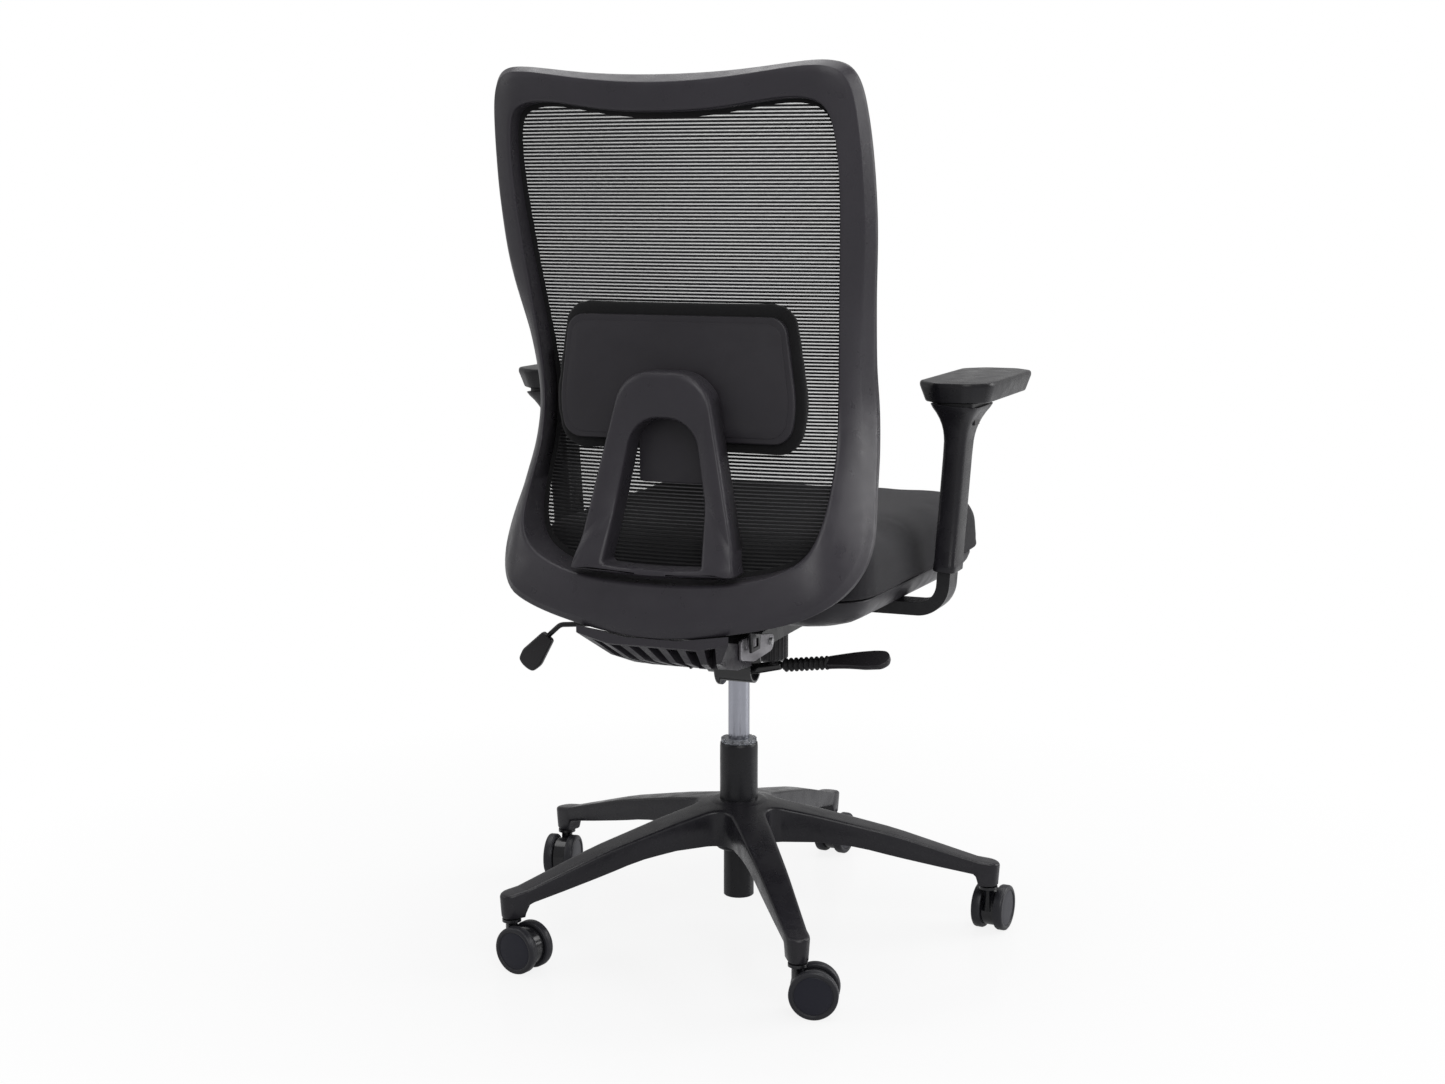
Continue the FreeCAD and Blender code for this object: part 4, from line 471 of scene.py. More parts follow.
def drawn(bm: Mesh, stations: Iterable[Point]) -> Mesh:
    """Draws a mesh's only face up through stations.

    Args:
        bm: flat outline at height 0.
        stations: (height, scale along X, scale along Y) of each step, against the outline.

    Returns:
        The same mesh, closed.
    """
    top = bm.faces[:]
    base = bmesh.ops.duplicate(bm, geom=top)["geom"]
    bmesh.ops.reverse_faces(bm, faces=[f for f in base if isinstance(f, bmesh.types.BMFace)])
    height, wide, long = 0.0, 1.0, 1.0
    for next_height, next_wide, next_long in stations:
        grown = bmesh.ops.extrude_face_region(bm, geom=top)["geom"]
        bmesh.ops.delete(bm, geom=top, context="FACES_ONLY")
        top = [f for f in grown if isinstance(f, bmesh.types.BMFace)]
        verts = [v for v in grown if isinstance(v, bmesh.types.BMVert)]
        bmesh.ops.translate(bm, verts=verts, vec=(0, 0, next_height - height))
        bmesh.ops.scale(bm, verts=verts, vec=(next_wide / wide, next_long / long, 1))
        height, wide, long = next_height, next_wide, next_long
    bmesh.ops.remove_doubles(bm, verts=bm.verts, dist=WELD)
    return bm


def rounded(bm: Mesh, radius: float, steps: int, over: float = 30.0) -> Mesh:
    """Rounds the edges that turn by more than some degrees."""
    bmesh.ops.recalc_face_normals(bm, faces=bm.faces)
    sharp = [e for e in bm.edges if len(e.link_faces) == 2 and e.calc_face_angle() > math.radians(over)]
    return bevelled(bm, sharp, radius, steps, "EDGES")


def moved(bm: Mesh, *matrices: Matrix) -> Mesh:
    """Applies matrices to a mesh, the first one first."""
    for matrix in matrices:
        bmesh.ops.transform(bm, matrix=matrix, verts=bm.verts)
    return bm


def shift(x: float, y: float, z: float) -> Matrix:
    """Matrix of a move."""
    return Matrix.Translation((x, y, z))


def turn(degrees: float, axis: str) -> Matrix:
    """Matrix of a turn about an axis of the frame."""
    return Matrix.Rotation(math.radians(degrees), 4, axis)


def aimed(start: Sequence[float], along: Sequence[float]) -> Matrix:
    """Matrix that takes the upright axis at the origin to a line from a start."""
    return Matrix.Translation(start) @ Vector(along).to_track_quat("Z", "Y").to_matrix().to_4x4()


def merged(*parts: Mesh) -> Mesh:
    """Puts several meshes in the first one."""
    whole = parts[0]
    for part in parts[1:]:
        spare = bpy.data.meshes.new("spare")
        part.to_mesh(spare)
        part.free()
        whole.from_mesh(spare)
        bpy.data.meshes.remove(spare)
    return whole


def from_node(node: str) -> Mesh:
    """Copy of a CAD node's mesh, joined up."""
    bm = bmesh.new()
    bm.from_mesh(frame["nodes"][node].data)
    bmesh.ops.remove_doubles(bm, verts=bm.verts, dist=0.00001)
    return bm


def kept(node: str, finish: Finish, body: str, smooth: float = 28.0) -> Piece:
    """Piece with a CAD node's own shape, smoothly shaded and dressed."""
    return dress(settle(from_node(node), node + "_finished", smooth, orient=False), finish, body, node)


def middle_of(node: str) -> Vector:
    """Middle of a CAD node's box."""
    low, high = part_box(node)
    return (low + high) / 2


def between(inner: Line, outer: Line, share: float, out: float) -> list[Vector]:
    """Points part of the way from one loop to another.

    Args:
        inner: loop of (x, z).
        outer: loop round it, with as many points.
        share: share of the way outwards.
        out: distance added outwards.

    Returns:
        Points (x, z).
    """
    spots = []
    for (ax, az), (bx, bz) in zip(inner, outer):
        across = Vector((bx - ax, bz - az))
        spots.append(Vector((ax, az)) + across * share + across.normalized() * out)
    return spots


def framed(inner: Line, outer: Line, sections: Line, depth: Callable[..., float]) -> Mesh:
    """Closed band between two loops, with one section all the way round.

    Args:
        inner: loop of the opening.
        outer: loop of the outside.
        sections: (share across the band, shift outwards, then what the depth takes besides a spot).
        depth: gives the Y of a spot (x, z).

    Returns:
        Closed mesh.
    """
    return lofted([
        [(spot.x, depth(spot, *rest), spot.y) for spot in between(inner, outer, share, out)]
        for share, out, *rest in sections
    ])


def flowing_loop(half: Line) -> list[Point]:
    """Smooth closed loop, the same on both sides of the middle.

    Args:
        half: control points of the +X half, from the top middle to the bottom middle.

    Returns:
        Points (x, z) round the loop.
    """
    poles = list(half) + [(-x, z) for x, z in reversed(half[1:-1])]
    curve = bpy.data.curves.new("guide", "CURVE")
    curve.dimensions = "3D"
    spline = curve.splines.new("NURBS")
    spline.points.add(len(poles) - 1)
    for point, (x, z) in zip(spline.points, poles):
        point.co = (x, 0.0, z, 1.0)
    spline.use_cyclic_u = True
    spline.order_u = 4
    spline.resolution_u = 9
    guide = bpy.data.objects.new("guide", curve)
    mesh = bpy.data.meshes.new_from_object(guide)
    points = [(v.co.x, v.co.z) for v in mesh.vertices]
    bpy.data.objects.remove(guide)
    bpy.data.curves.remove(curve)
    bpy.data.meshes.remove(mesh)
    return points


def spans(loop: Line, level: float, upright: bool) -> list[Point]:
    """Stretches of a line that lie inside a loop.

    Args:
        loop: closed loop of (x, z).
        level: height of a level line, or x of an upright one.
        upright: whether the line is upright.

    Returns:
        Pairs (from, to) along the line.
    """
    i, j = (0, 1) if upright else (1, 0)
    cuts = []
    for a, b in zip(loop, list(loop[1:]) + [loop[0]]):
        if (a[i] - level) * (b[i] - level) < 0:
            cuts.append(a[j] + (b[j] - a[j]) * (level - a[i]) / (b[i] - a[i]))
    cuts.sort()
    return list(zip(cuts[::2], cuts[1::2]))


def swollen(piece: Piece, voxel: float, pressure: float, cap: float, low: float = -1.0) -> None:
    """Swells a padded form as stuffed cloth, then smooths it.

    Args:
        piece: closed form, a little smaller than the finished pad.
        voxel: size of the remeshed faces.
        pressure: air pressure in the cloth.
        cap: furthest that a point may move.
        low: height under which the form rests on something and stays.
    """
    remesh = piece.modifiers.new("Remesh", "REMESH")
    remesh.mode = "VOXEL"
    remesh.voxel_size = voxel
    bake(piece)
    rest = [v.co.copy() for v in piece.data.vertices]
    stuffed = piece.modifiers.new("Cloth", "CLOTH")
    settings = stuffed.settings
    settings.quality, settings.use_pressure, settings.uniform_pressure_force = 4, True, pressure
    settings.tension_stiffness, settings.bending_stiffness = 18.0, 0.6
    settings.effector_weights.gravity = 0.0
    stuffed.collision_settings.use_collision = False
    stuffed.point_cache.frame_start, stuffed.point_cache.frame_end = 1, 20
    scene = bpy.context.scene
    for step in range(1, 21):
        scene.frame_set(step)
    bake(piece)
    scene.frame_set(1)
    for vert, start in zip(piece.data.vertices, rest):
        move = vert.co - start
        hold = min(1.0, max(0.0, (start.z - low) / 0.02))
        vert.co = start + move.normalized() * min(move.length, cap) * hold
    bm = bmesh.new()
    bm.from_mesh(piece.data)
    for _ in range(4):
        bmesh.ops.smooth_vert(
            bm, verts=bm.verts, factor=0.5, use_axis_x=True, use_axis_y=True, use_axis_z=True,
        )
    bm.to_mesh(piece.data)
    bm.free()
    piece.data.shade_smooth()


def bake(piece: Piece) -> None:
    """Applies a piece's modifiers to its mesh."""
    graph = bpy.context.evaluated_depsgraph_get()
    graph.update()
    made = bpy.data.meshes.new_from_object(piece.evaluated_get(graph))
    old = piece.data
    piece.modifiers.clear()
    piece.data = made
    bpy.data.meshes.remove(old)


def subdivide(piece: Piece) -> None:
    """Adds a subdivision surface of one level."""
    made = piece.modifiers.new("Subdivision", "SUBSURF")
    made.levels = made.render_levels = 1


# ---------------------------------------------------------------- sub-assemblies

def eased(knots: Line, at: float) -> float:
    """Value on a smooth curve through knots.

    Args:
        knots: (place, value) in rising order.
        at: place, also a little outside the knots.

    Returns:
        Value there.
    """
    last = len(knots) - 1
    i = max([k for k in range(last) if knots[k][0] <= at] or [0])
    (z0, y0), (z1, y1) = knots[i], knots[i + 1]
    slopes = []
    for k in (i, i + 1):
        before, after = knots[max(0, k - 1)], knots[min(last, k + 1)]
        slopes.append((after[1] - before[1]) / (after[0] - before[0]))
    step = z1 - z0
    t = (at - z0) / step
    if t > 1:
        return y1 + slopes[1] * (at - z1)
    return (
        y0 * (1 + 2 * t) * (1 - t) ** 2 + slopes[0] * step * t * (1 - t) ** 2
        + y1 * t * t * (3 - 2 * t) + slopes[1] * step * t * t * (t - 1)
    )


@dataclass
class BackSurface:
    """Curved rear and front surfaces of the back.

    Attributes:
        rows: (height, then depth at the middle, beside the opening and near the edge of the
            rear surface, then the same of the front surface).
        beside: x of the second depth.
        edge: x of the third depth.
        fall: (height, how far the outer edge lies in front of the rear surface).
    """

    rows: Table = (
        (0.4314, 0.292, 0.27, 0.236, 0.24, 0.227, 0.217),
        (0.4804, 0.292, 0.266, 0.232, 0.24, 0.224, 0.214),
        (0.56, 0.267, 0.247, 0.1845, 0.205, 0.184, 0.169),
        (0.61, 0.2394, 0.2174, 0.1464, 0.178, 0.162, 0.134),
        (0.66, 0.2121, 0.1871, 0.1116, 0.1561, 0.1401, 0.1021),
        (0.71, 0.2027, 0.1757, 0.0967, 0.15, 0.134, 0.09),
        (0.76, 0.208, 0.181, 0.117, 0.151, 0.139, 0.109),
        (0.8569, 0.2282, 0.2032, 0.1772, 0.1782, 0.1642, 0.1582),
        (0.9533, 0.2477, 0.2247, 0.205, 0.203, 0.189, 0.185),
        (1.0478, 0.261, 0.243, 0.2235, 0.233, 0.213, 0.207),
        (1.1215, 0.269, 0.254, 0.236, 0.244, 0.228, 0.22),
    )
    beside: float = 0.19
    edge: float = 0.235
    fall: Table = ((0.43, 0.004), (0.62, 0.003), (0.76, 0.003), (0.86, 0.009), (0.955, 0.012), (1.12, 0.013))

    def level(self, x: float, z: float, first: int) -> float:
        """Depth on the surface whose columns start at one of the rows' entries."""
        middle, side, far = (eased([(row[0], row[first + k]) for row in self.rows], z) for k in range(3))
        return eased(((-self.beside, side), (0.0, middle), (self.beside, side), (self.edge, far)), abs(x))

    def rear(self, x: float, z: float) -> float:
        """Y of the rear surface."""
        return self.level(x, z, 1)

    def front(self, x: float, z: float) -> float:
        """Y of the front surface."""
        return self.level(x, z, 4)


@dataclass
class Back:
    """Moulded frame of the back, its net, and the black band at the net's edge, which is the net's binding
    and also painted shade on the inner wall of the opening.

    Attributes:
        outside: control points of the frame's outside, +X half.
        opening: control points of its opening, +X half.
        sections: (share across the band, shift outwards, depth, share of the edge's fall,
            share of the way to the front) round the band's section.
        hem: (share across, shift outwards, depth behind the front surface) of the black band at the net's
            edge, which is the net's binding and painted shade on the opening's inner wall.
        cells: length of a facet of the upright threads, and of the level strands.
    """

    surface: BackSurface
    outside: Table = (
        (0, 1.0975), (0.1048, 1.1018), (0.194, 1.1159), (0.2273, 1.1065), (0.2368, 1.0625), (0.2423, 0.9855),
        (0.2403, 0.8892), (0.2205, 0.7676), (0.2226, 0.6817), (0.2325, 0.5962), (0.2448, 0.539),
        (0.2138, 0.4794), (0.1176, 0.4561), (0, 0.4374),
    )
    opening: Table = (
        (0, 1.0555), (0.0737, 1.0575), (0.146, 1.0722), (0.1947, 1.0687), (0.2043, 1.0375), (0.2078, 0.9795),
        (0.2018, 0.8853), (0.1914, 0.7569), (0.1903, 0.687), (0.1958, 0.6081), (0.1895, 0.5495),
        (0.15, 0.5242), (0.0825, 0.5094), (0, 0.5074),
    )
    sections: Table = (
        (0, 0, 0, 0, 1), (0, 0, 0.006, 0, 0), (0, 0.0004, 0.0034, 0, 0), (0, 0.0016, 0.0014, 0, 0),
        (0, 0.0036, 0.0003, 0, 0), (0, 0.0065, 0, 0, 0), (0.35, 0, -0.0008, 0, 0), (0.65, 0, -0.0008, 0, 0),
        (1, -0.0104, 0, 0, 0), (1, -0.0094, 0.0002, 0.03, 0), (1, -0.0086, 0.0004, 0.1, 0),
        (1, -0.0042, 0.0004, 0.6, 0), (1, -0.0014, 0.0004, 0.92, 0), (1, -0.0003, 0.001, 1, 0),
        (1, 0, 0.002, 1, 0), (1, 0, 0.002, 1, 0.26), (1, -0.001, 0.002, 1, 0.31),
        (1, -0.001, 0.002, 1, 0.37), (1, 0, 0.002, 1, 0.42), (1, 0, 0.002, 1, 0.82),
        (1, -0.0014, 0.002, 1, 0.95), (1, -0.0045, 0.002, 1, 1),
    )
    hem: Table = ((0, -0.0065, 0.0048), (0, -0.0065, 0.004), (0, 0.0002, 0.0034), (0, 0.0002, 0.0058))
    least_wall: float = 0.004
    net_set_back: float = 0.004
    net_reach: float = 0.206
    strand_pitch: float = 0.0042
    strand_width: float = 0.0026
    strand_wall: float = 0.0004
    thread_pitch: float = 0.00125
    thread_width: float = 0.00048
    thread_lift: float = 0.0003
    cells: Point = (0.042, 0.024)

    def frame_depth(self, spot: Vector, deep: float, falling: float, towards: float) -> float:
        """Y on the frame's section, from the rear surface towards the front one."""
        top = self.surface.rear(*spot) - deep - falling * eased(self.surface.fall, spot.y)
        front = min(self.surface.front(*spot), top - self.least_wall)
        return top + (front - top) * towards

    def hem_depth(self, spot: Vector, behind: float) -> float:
        """Y on the section of the black band at the net's edge, which is binding and painted shade."""
        return self.surface.front(*spot) + behind

    def ribbon(self, start: float, end: float, level: float, upright: bool) -> Mesh:
        """One strand or thread of the net, bent to the back's surface.

        Args:
            start: where it begins.
            end: where it ends.
            level: height of a level strand, or x of an upright thread.
            upright: whether it is an upright thread.

        Returns:
            Flat mesh.
        """
        cell, width, lift = self.cells[1], self.strand_width, 0.0
        if upright:
            cell, width, lift = self.cells[0], self.thread_width, self.thread_lift
        bm = bmesh.new()
        bmesh.ops.create_grid(bm, x_segments=max(3, round((end - start) / cell)), y_segments=1, size=0.5)
        for vert in bm.verts:
            along = start + (vert.co.x + 0.5) * (end - start)
            across = level + vert.co.y * width
            x, z = (across, along) if upright else (along, across)
            vert.co = (x, self.surface.front(x, z) + self.net_set_back - lift, z)
        return bm

    def make(self) -> list[Piece]:
        """Builds the frame, the net, and the black band at the net's edge, which is binding and painted
        shade.
        """
        inner, outer = flowing_loop(self.opening), flowing_loop(self.outside)
        shell = settle(framed(inner, outer, self.sections, self.frame_depth), "back_frame_moulding", 60)
        dress(shell, FRAME_PLASTIC, "back", "back_frame")

        low, high = min(z for _, z in inner), max(z for _, z in inner)
        strands = []
        for level, stop, pitch, upright in (
            (low + self.strand_pitch, high, self.strand_pitch, False),
            (-self.net_reach, self.net_reach, self.thread_pitch, True),
        ):
            while level < stop:
                for start, end in spans(inner, level, upright):
                    strands.append(self.ribbon(start, end, level, upright))
                level += pitch
        net = settle(merged(*strands), "back_net", 60)
        wall = net.modifiers.new("Wall", "SOLIDIFY")
        wall.thickness = self.strand_wall
        wall.offset = 0.0
        dress(net, NET_THREAD, "back", "back_mesh")

        # Black band at the net's edge: the net's binding, and also painted shade that darkens the inner wall
        # of the opening.
        binding_and_shade = settle(framed(inner, outer, self.hem, self.hem_depth), "net_binding", 40)
        dress(binding_and_shade, PAD_CLOTH, "back")
        return [shell, net, binding_and_shade]


def corner_loop(corners: Line) -> list[Point]:
    """Loop of a shape that is the same on both sides, each corner rounded by its own radius.

    Args:
        corners: (x, z, radius) of the +X half from the top down; a corner at x = 0 is not doubled.

    Returns:
        Points (x, z), from the last corner on the -X side of the top.
    """
    whole = list(corners) + [(-x, z, radius) for x, z, radius in reversed(corners) if x > 0]
    bm = flat([corner[:2] for corner in whole])
    for vert, (_, _, radius) in zip(bm.verts[:], whole):
        bevelled(bm, [vert], radius, 6, "VERTICES")
    bm.faces.ensure_lookup_table()
    loop = [(v.co.x, v.co.y) for v in bm.faces[0].verts]
    bm.free()
    top = max(z for _, z in loop)
    first = max(range(len(loop)), key=lambda i: (loop[i][1] > top - 1e-5, -abs(loop[i][0]), -loop[i][0]))
    return loop[first:] + loop[:first]


@dataclass
class Lumbar:
    """Arch across the opening, and the pad on its sliding carrier.

    Attributes:
        spine: (height, Y of the arch's front).
        wall: the arch's depth.
        arch: corners (x, z, radius) of its outline.
        window: corners of its window.
        sections: (share across, shift outwards, depth, share of the way to the front).
        carrier: corners of the carrier's plate.
        rears: Y of the rear face of the plate, its crown, the tongue, the ledge and the pad.
        pad: corners of the pad.
        pad_steps: (height, scale along X, scale along Z) of the pad's form.
    """

    spine: Table = (
        (0.49, 0.26), (0.534, 0.255), (0.555, 0.244), (0.59, 0.231),
        (0.631, 0.2215), (0.68, 0.22), (0.74, 0.223), (0.765, 0.227),
    )
    wall: float = 0.034
    arch: Table = ((0.0535, 0.757, 0.036), (0.101, 0.54, 0.02), (0.1055, 0.5225, 0.004), (0, 0.5165, 0.02))
    window: Table = ((0.0385, 0.701, 0.032), (0.0565, 0.6, 0.01), (0.0625, 0.529, 0.006), (0, 0.526, 0.02))
    sections: Table = (
        (0, 0, 0.022, 1), (0, 0, 0.006, 0), (0, 0.001, 0.003, 0), (0, 0.0032, 0.001, 0),
        (0, 0.0062, 0.0001, 0), (0.5, 0, -0.0004, 0), (1, -0.0082, 0.0003, 0), (1, -0.0046, 0.0015, 0),
        (1, -0.0018, 0.004, 0), (1, 0, 0.008, 0), (1, 0, 0.03, 0.9), (1, -0.002, 0.034, 1),
    )
    carrier: Table = ((0.139, 0.8205, 0.018), (0.152, 0.716, 0.016), (0.145, 0.671, 0.02))
    rears: Point = (0.213, 0.2131, 0.2195, 0.219, 0.2034)
    tongue_half: float = 0.044
    pad: Table = ((0.148, 0.838, 0.026), (0.166, 0.716, 0.02), (0.156, 0.655, 0.028))
    pad_steps: Table = ((0.012, 1, 1), (0.0165, 0.98, 0.92), (0.02, 0.91, 0.78), (0.0225, 0.74, 0.46))

    def arch_depth(self, spot: Vector, deep: float, towards: float) -> float:
        """Y on the arch's section, from its rear towards its front."""
        front = eased(self.spine, spot.y)
        rear = front + self.wall - deep
        return rear + (front - rear) * towards

    def plate(self, corners: Line, grow: float, stations: Iterable[Point]) -> Mesh:
        """Plate of a rounded outline, drawn about its own middle.

        Args:
            corners: corners of the outline.
            grow: how much larger than the outline, on each side.
            stations: as for `drawn`.

        Returns:
            Mesh in the XY plane, its base at height 0.
        """
        loop = corner_loop(corners)
        top = max(z for _, z in loop)
        middle = (top + min(z for _, z in loop)) / 2
        wide = 1 + grow / max(x for x, _ in loop)
        tall = 1 + grow / (top - middle)
        bm = flat([(x * wide, (z - middle) * tall) for x, z in loop])
        return moved(drawn(bm, stations), shift(0, middle, 0))

    def make(self) -> list[Piece]:
        """Builds the arch, the carrier with its tongue, and the pad."""
        arch = framed(corner_loop(self.window), corner_loop(self.arch), self.sections, self.arch_depth)
        arch = settle(arch, "lumbar_arch_moulding", 50)
        dress(arch, FRAME_PLASTIC, "back", "lumbar_arch")

        plate = rounded(self.plate(self.carrier, 0.0, [(0.009, 1, 1)]), 0.002, 3)
        crown = rounded(self.plate(self.carrier, -0.007, [(0.0012, 1, 1)]), 0.0008, 2)
        moved(crown, shift(0, 0, -0.001))
        tongue = drawn(rectangle(self.tongue_half, 0.621, 0.7, 0.006, 4), [(0.006, 1, 1)])
        rounded(tongue, 0.0016, 3)
        ledge = drawn(rectangle(self.tongue_half, 0.678, 0.708, 0.004, 3), [(0.011, 1, 1)])
        form = self.plate(self.pad, -0.0005, self.pad_steps)
        parts = [plate, crown, tongue, ledge, form]
        for part, rear in zip(parts, self.rears):
            moved(part, shift(0, rear, 0) @ turn(90, "X"))
        carrier = settle(merged(*parts[:4]), "lumbar_carrier_plate", 40)
        dress(carrier, DARK_PLASTIC, "lumbar", "lumbar_carrier")

        pad = settle(rounded(form, 0.005, 3), "lumbar_pad_cloth", 180)
        swollen(pad, voxel=0.0045, pressure=3.0, cap=0.002)
        subdivide(pad)
        dress(pad, PAD_CLOTH, "lumbar", "lumbar_pad")
        return [arch, carrier, pad]


@dataclass
class Bracket:
    """Ribbed bracket under the back and the plates that hang it on its pivot.

    Attributes:
        plate_inside: x of a plate's inner face.
        plate: outline (y, z) of a plate.
        bolt: (y, z) of the bolt's axis.
        washer: profile (radius, height) of its washer.
        washer_at: x of the washer's back.
        head_at: x of the bolt head's back.
    """

    plate_inside: float = 0.0565
    plate_wall: float = 0.004
    plate: Table = (
        (0.032, 0.391), (0.04, 0.385), (0.101, 0.383), (0.148, 0.393),
        (0.148, 0.419), (0.112, 0.419), (0.051, 0.409), (0.032, 0.405),
    )
    bolt: Point = (0.12, 0.411)
    washer: Table = ((0, 0), (0.0092, 0), (0.0096, 0.0004), (0.0096, 0.0012), (0, 0.0014))
    washer_at: float = 0.0604
    head_at: float = 0.0612

    def make(self) -> list[Piece]:
        """Builds the bracket and the two hinge plates with their bolts."""
        bracket = kept("back_bracket", FRAME_PLASTIC, "back", 24)
        parts = []
        for hand in Hand:
            plate = rounded(drawn(outline(self.plate, 0.006, 5), [(self.plate_wall, 1, 1)]), 0.0009, 2)
            moved(plate, Matrix(((0, 0, 1, self.plate_inside), (1, 0, 0, 0), (0, 1, 0, 0), (0, 0, 0, 1))))
            head = rounded(drawn(hexagon(0.0072), [(0.0046, 1, 1)]), 0.0009, 2)
            moved(head, aimed((self.head_at, *self.bolt), (1, 0, 0)))
            washer = moved(turned(self.washer, 32), aimed((self.washer_at, *self.bolt), (1, 0, 0)))
            parts.append(moved(merged(plate, head, washer), Matrix.Scale(hand.value, 4, (1, 0, 0))))
        plates = dress(settle(merged(*parts), "hinge_plates_steel", 35), ZINC, "back", "hinge_plates")
        return [bracket, plates]


def hexagon(radius: float) -> Mesh:
    """Flat six-sided face."""
    bm = bmesh.new()
    bmesh.ops.create_circle(bm, cap_ends=True, segments=6, radius=radius)
    return bm


@dataclass
class Seat:
    """Shell, cushion, plate and screws of the seat.

    Attributes:
        half: half of the width at the front.
        narrow: how much narrower each side is at the rear.
        rim: height of the shell's rim.
        lip: how far inside the widest outline the shell's rim lies.
        bowl: (inset, drop under the rim) down the shell.
        seam: (height over the rim, half of its width, depth) of the cushion's seam.
    """

    half: float = 0.25
    narrow: float = 0.022
    front: float = -0.325
    rear: float = 0.183
    corner: float = 0.062
    rim: float = 0.478
    top: float = 0.554
    lip: float = 0.012
    bowl: Table = (
        (0.0, 0.004), (0.003, 0.012), (0.009, 0.02), (0.018, 0.0275),
        (0.032, 0.0345), (0.05, 0.0405), (0.068, 0.045), (0.083, 0.0478),
    )
    seam: Point = (0.0135, 0.0045, 0.0016)

    @property
    def middle(self) -> float:
        """Y of the seat's middle."""
        return (self.front + self.rear) / 2

    def rim_face(self, inset: float) -> Mesh:
        """Rounded outline of the seat, inset from its widest, about its middle."""
        half, middle = self.half - inset, self.middle
        front, rear = self.front + inset - middle, self.rear - inset - middle
        narrow = half - self.narrow
        corners = ((-half, front), (half, front), (narrow, rear), (-narrow, rear))
        return outline(corners, self.corner - min(inset, 0.03), 9)

    def make(self) -> list[Piece]:
        """Builds the shell under the cushion, the cushion, the plate and the screws."""
        wide, long = self.half - self.lip, (self.rear - self.front) / 2 - self.lip
        steps = [(drop, 1 - inset / wide, 1 - inset / long) for inset, drop in self.bowl]
        bowl = rounded(drawn(self.rim_face(self.lip), steps), 0.0012, 2, 50)
        upside_down = turn(180, "X"), shift(0, 0, self.rim), Matrix.Scale(-1, 4, (0, 1, 0))
        moved(bowl, *upside_down, shift(0, self.middle, 0))
        shell = dress(settle(bowl, "seat_shell_moulding", 50), SHELL_PLASTIC, "seat", "seat_shell")

        height = self.top - self.rim - 0.0045
        steps = [(0.012, 1.012, 1.012)]
        for under, scale in ((0.03, 1.012), (0.012, 0.985), (0.003, 0.945), (0.0, 0.9)):
            steps.append((height - under, scale, scale))
        form = drawn(self.rim_face(0.006), steps)
        moved(form, Matrix.Diagonal((1.008, 1.012, 1, 1)), shift(0, self.middle - 0.005, self.rim + 0.0005))
        cushion = settle(form, "seat_cushion_cloth", 180)
        swollen(cushion, voxel=0.0065, pressure=4.0, cap=0.0065, low=self.rim + 0.004)
        self.sew(cushion)
        subdivide(cushion)
        dress(cushion, SEAT_CLOTH, "seat", "seat_cushion")
        return [shell, cushion, kept("seat_plate", BLACK_PAINT, "seat"), kept("seat_screws", ZINC, "seat")]

    def sew(self, cushion: Piece) -> None:
        """Presses the seam between the top panel and the side band into the cushion."""
        over, half, depth = self.seam
        for vert in cushion.data.vertices:
            near = 1 - min(1.0, abs(vert.co.z - (self.rim + over)) / half)
            if near > 0:
                vert.co -= Vector((vert.co.x, vert.co.y - self.middle, 0)).normalized() * depth * near


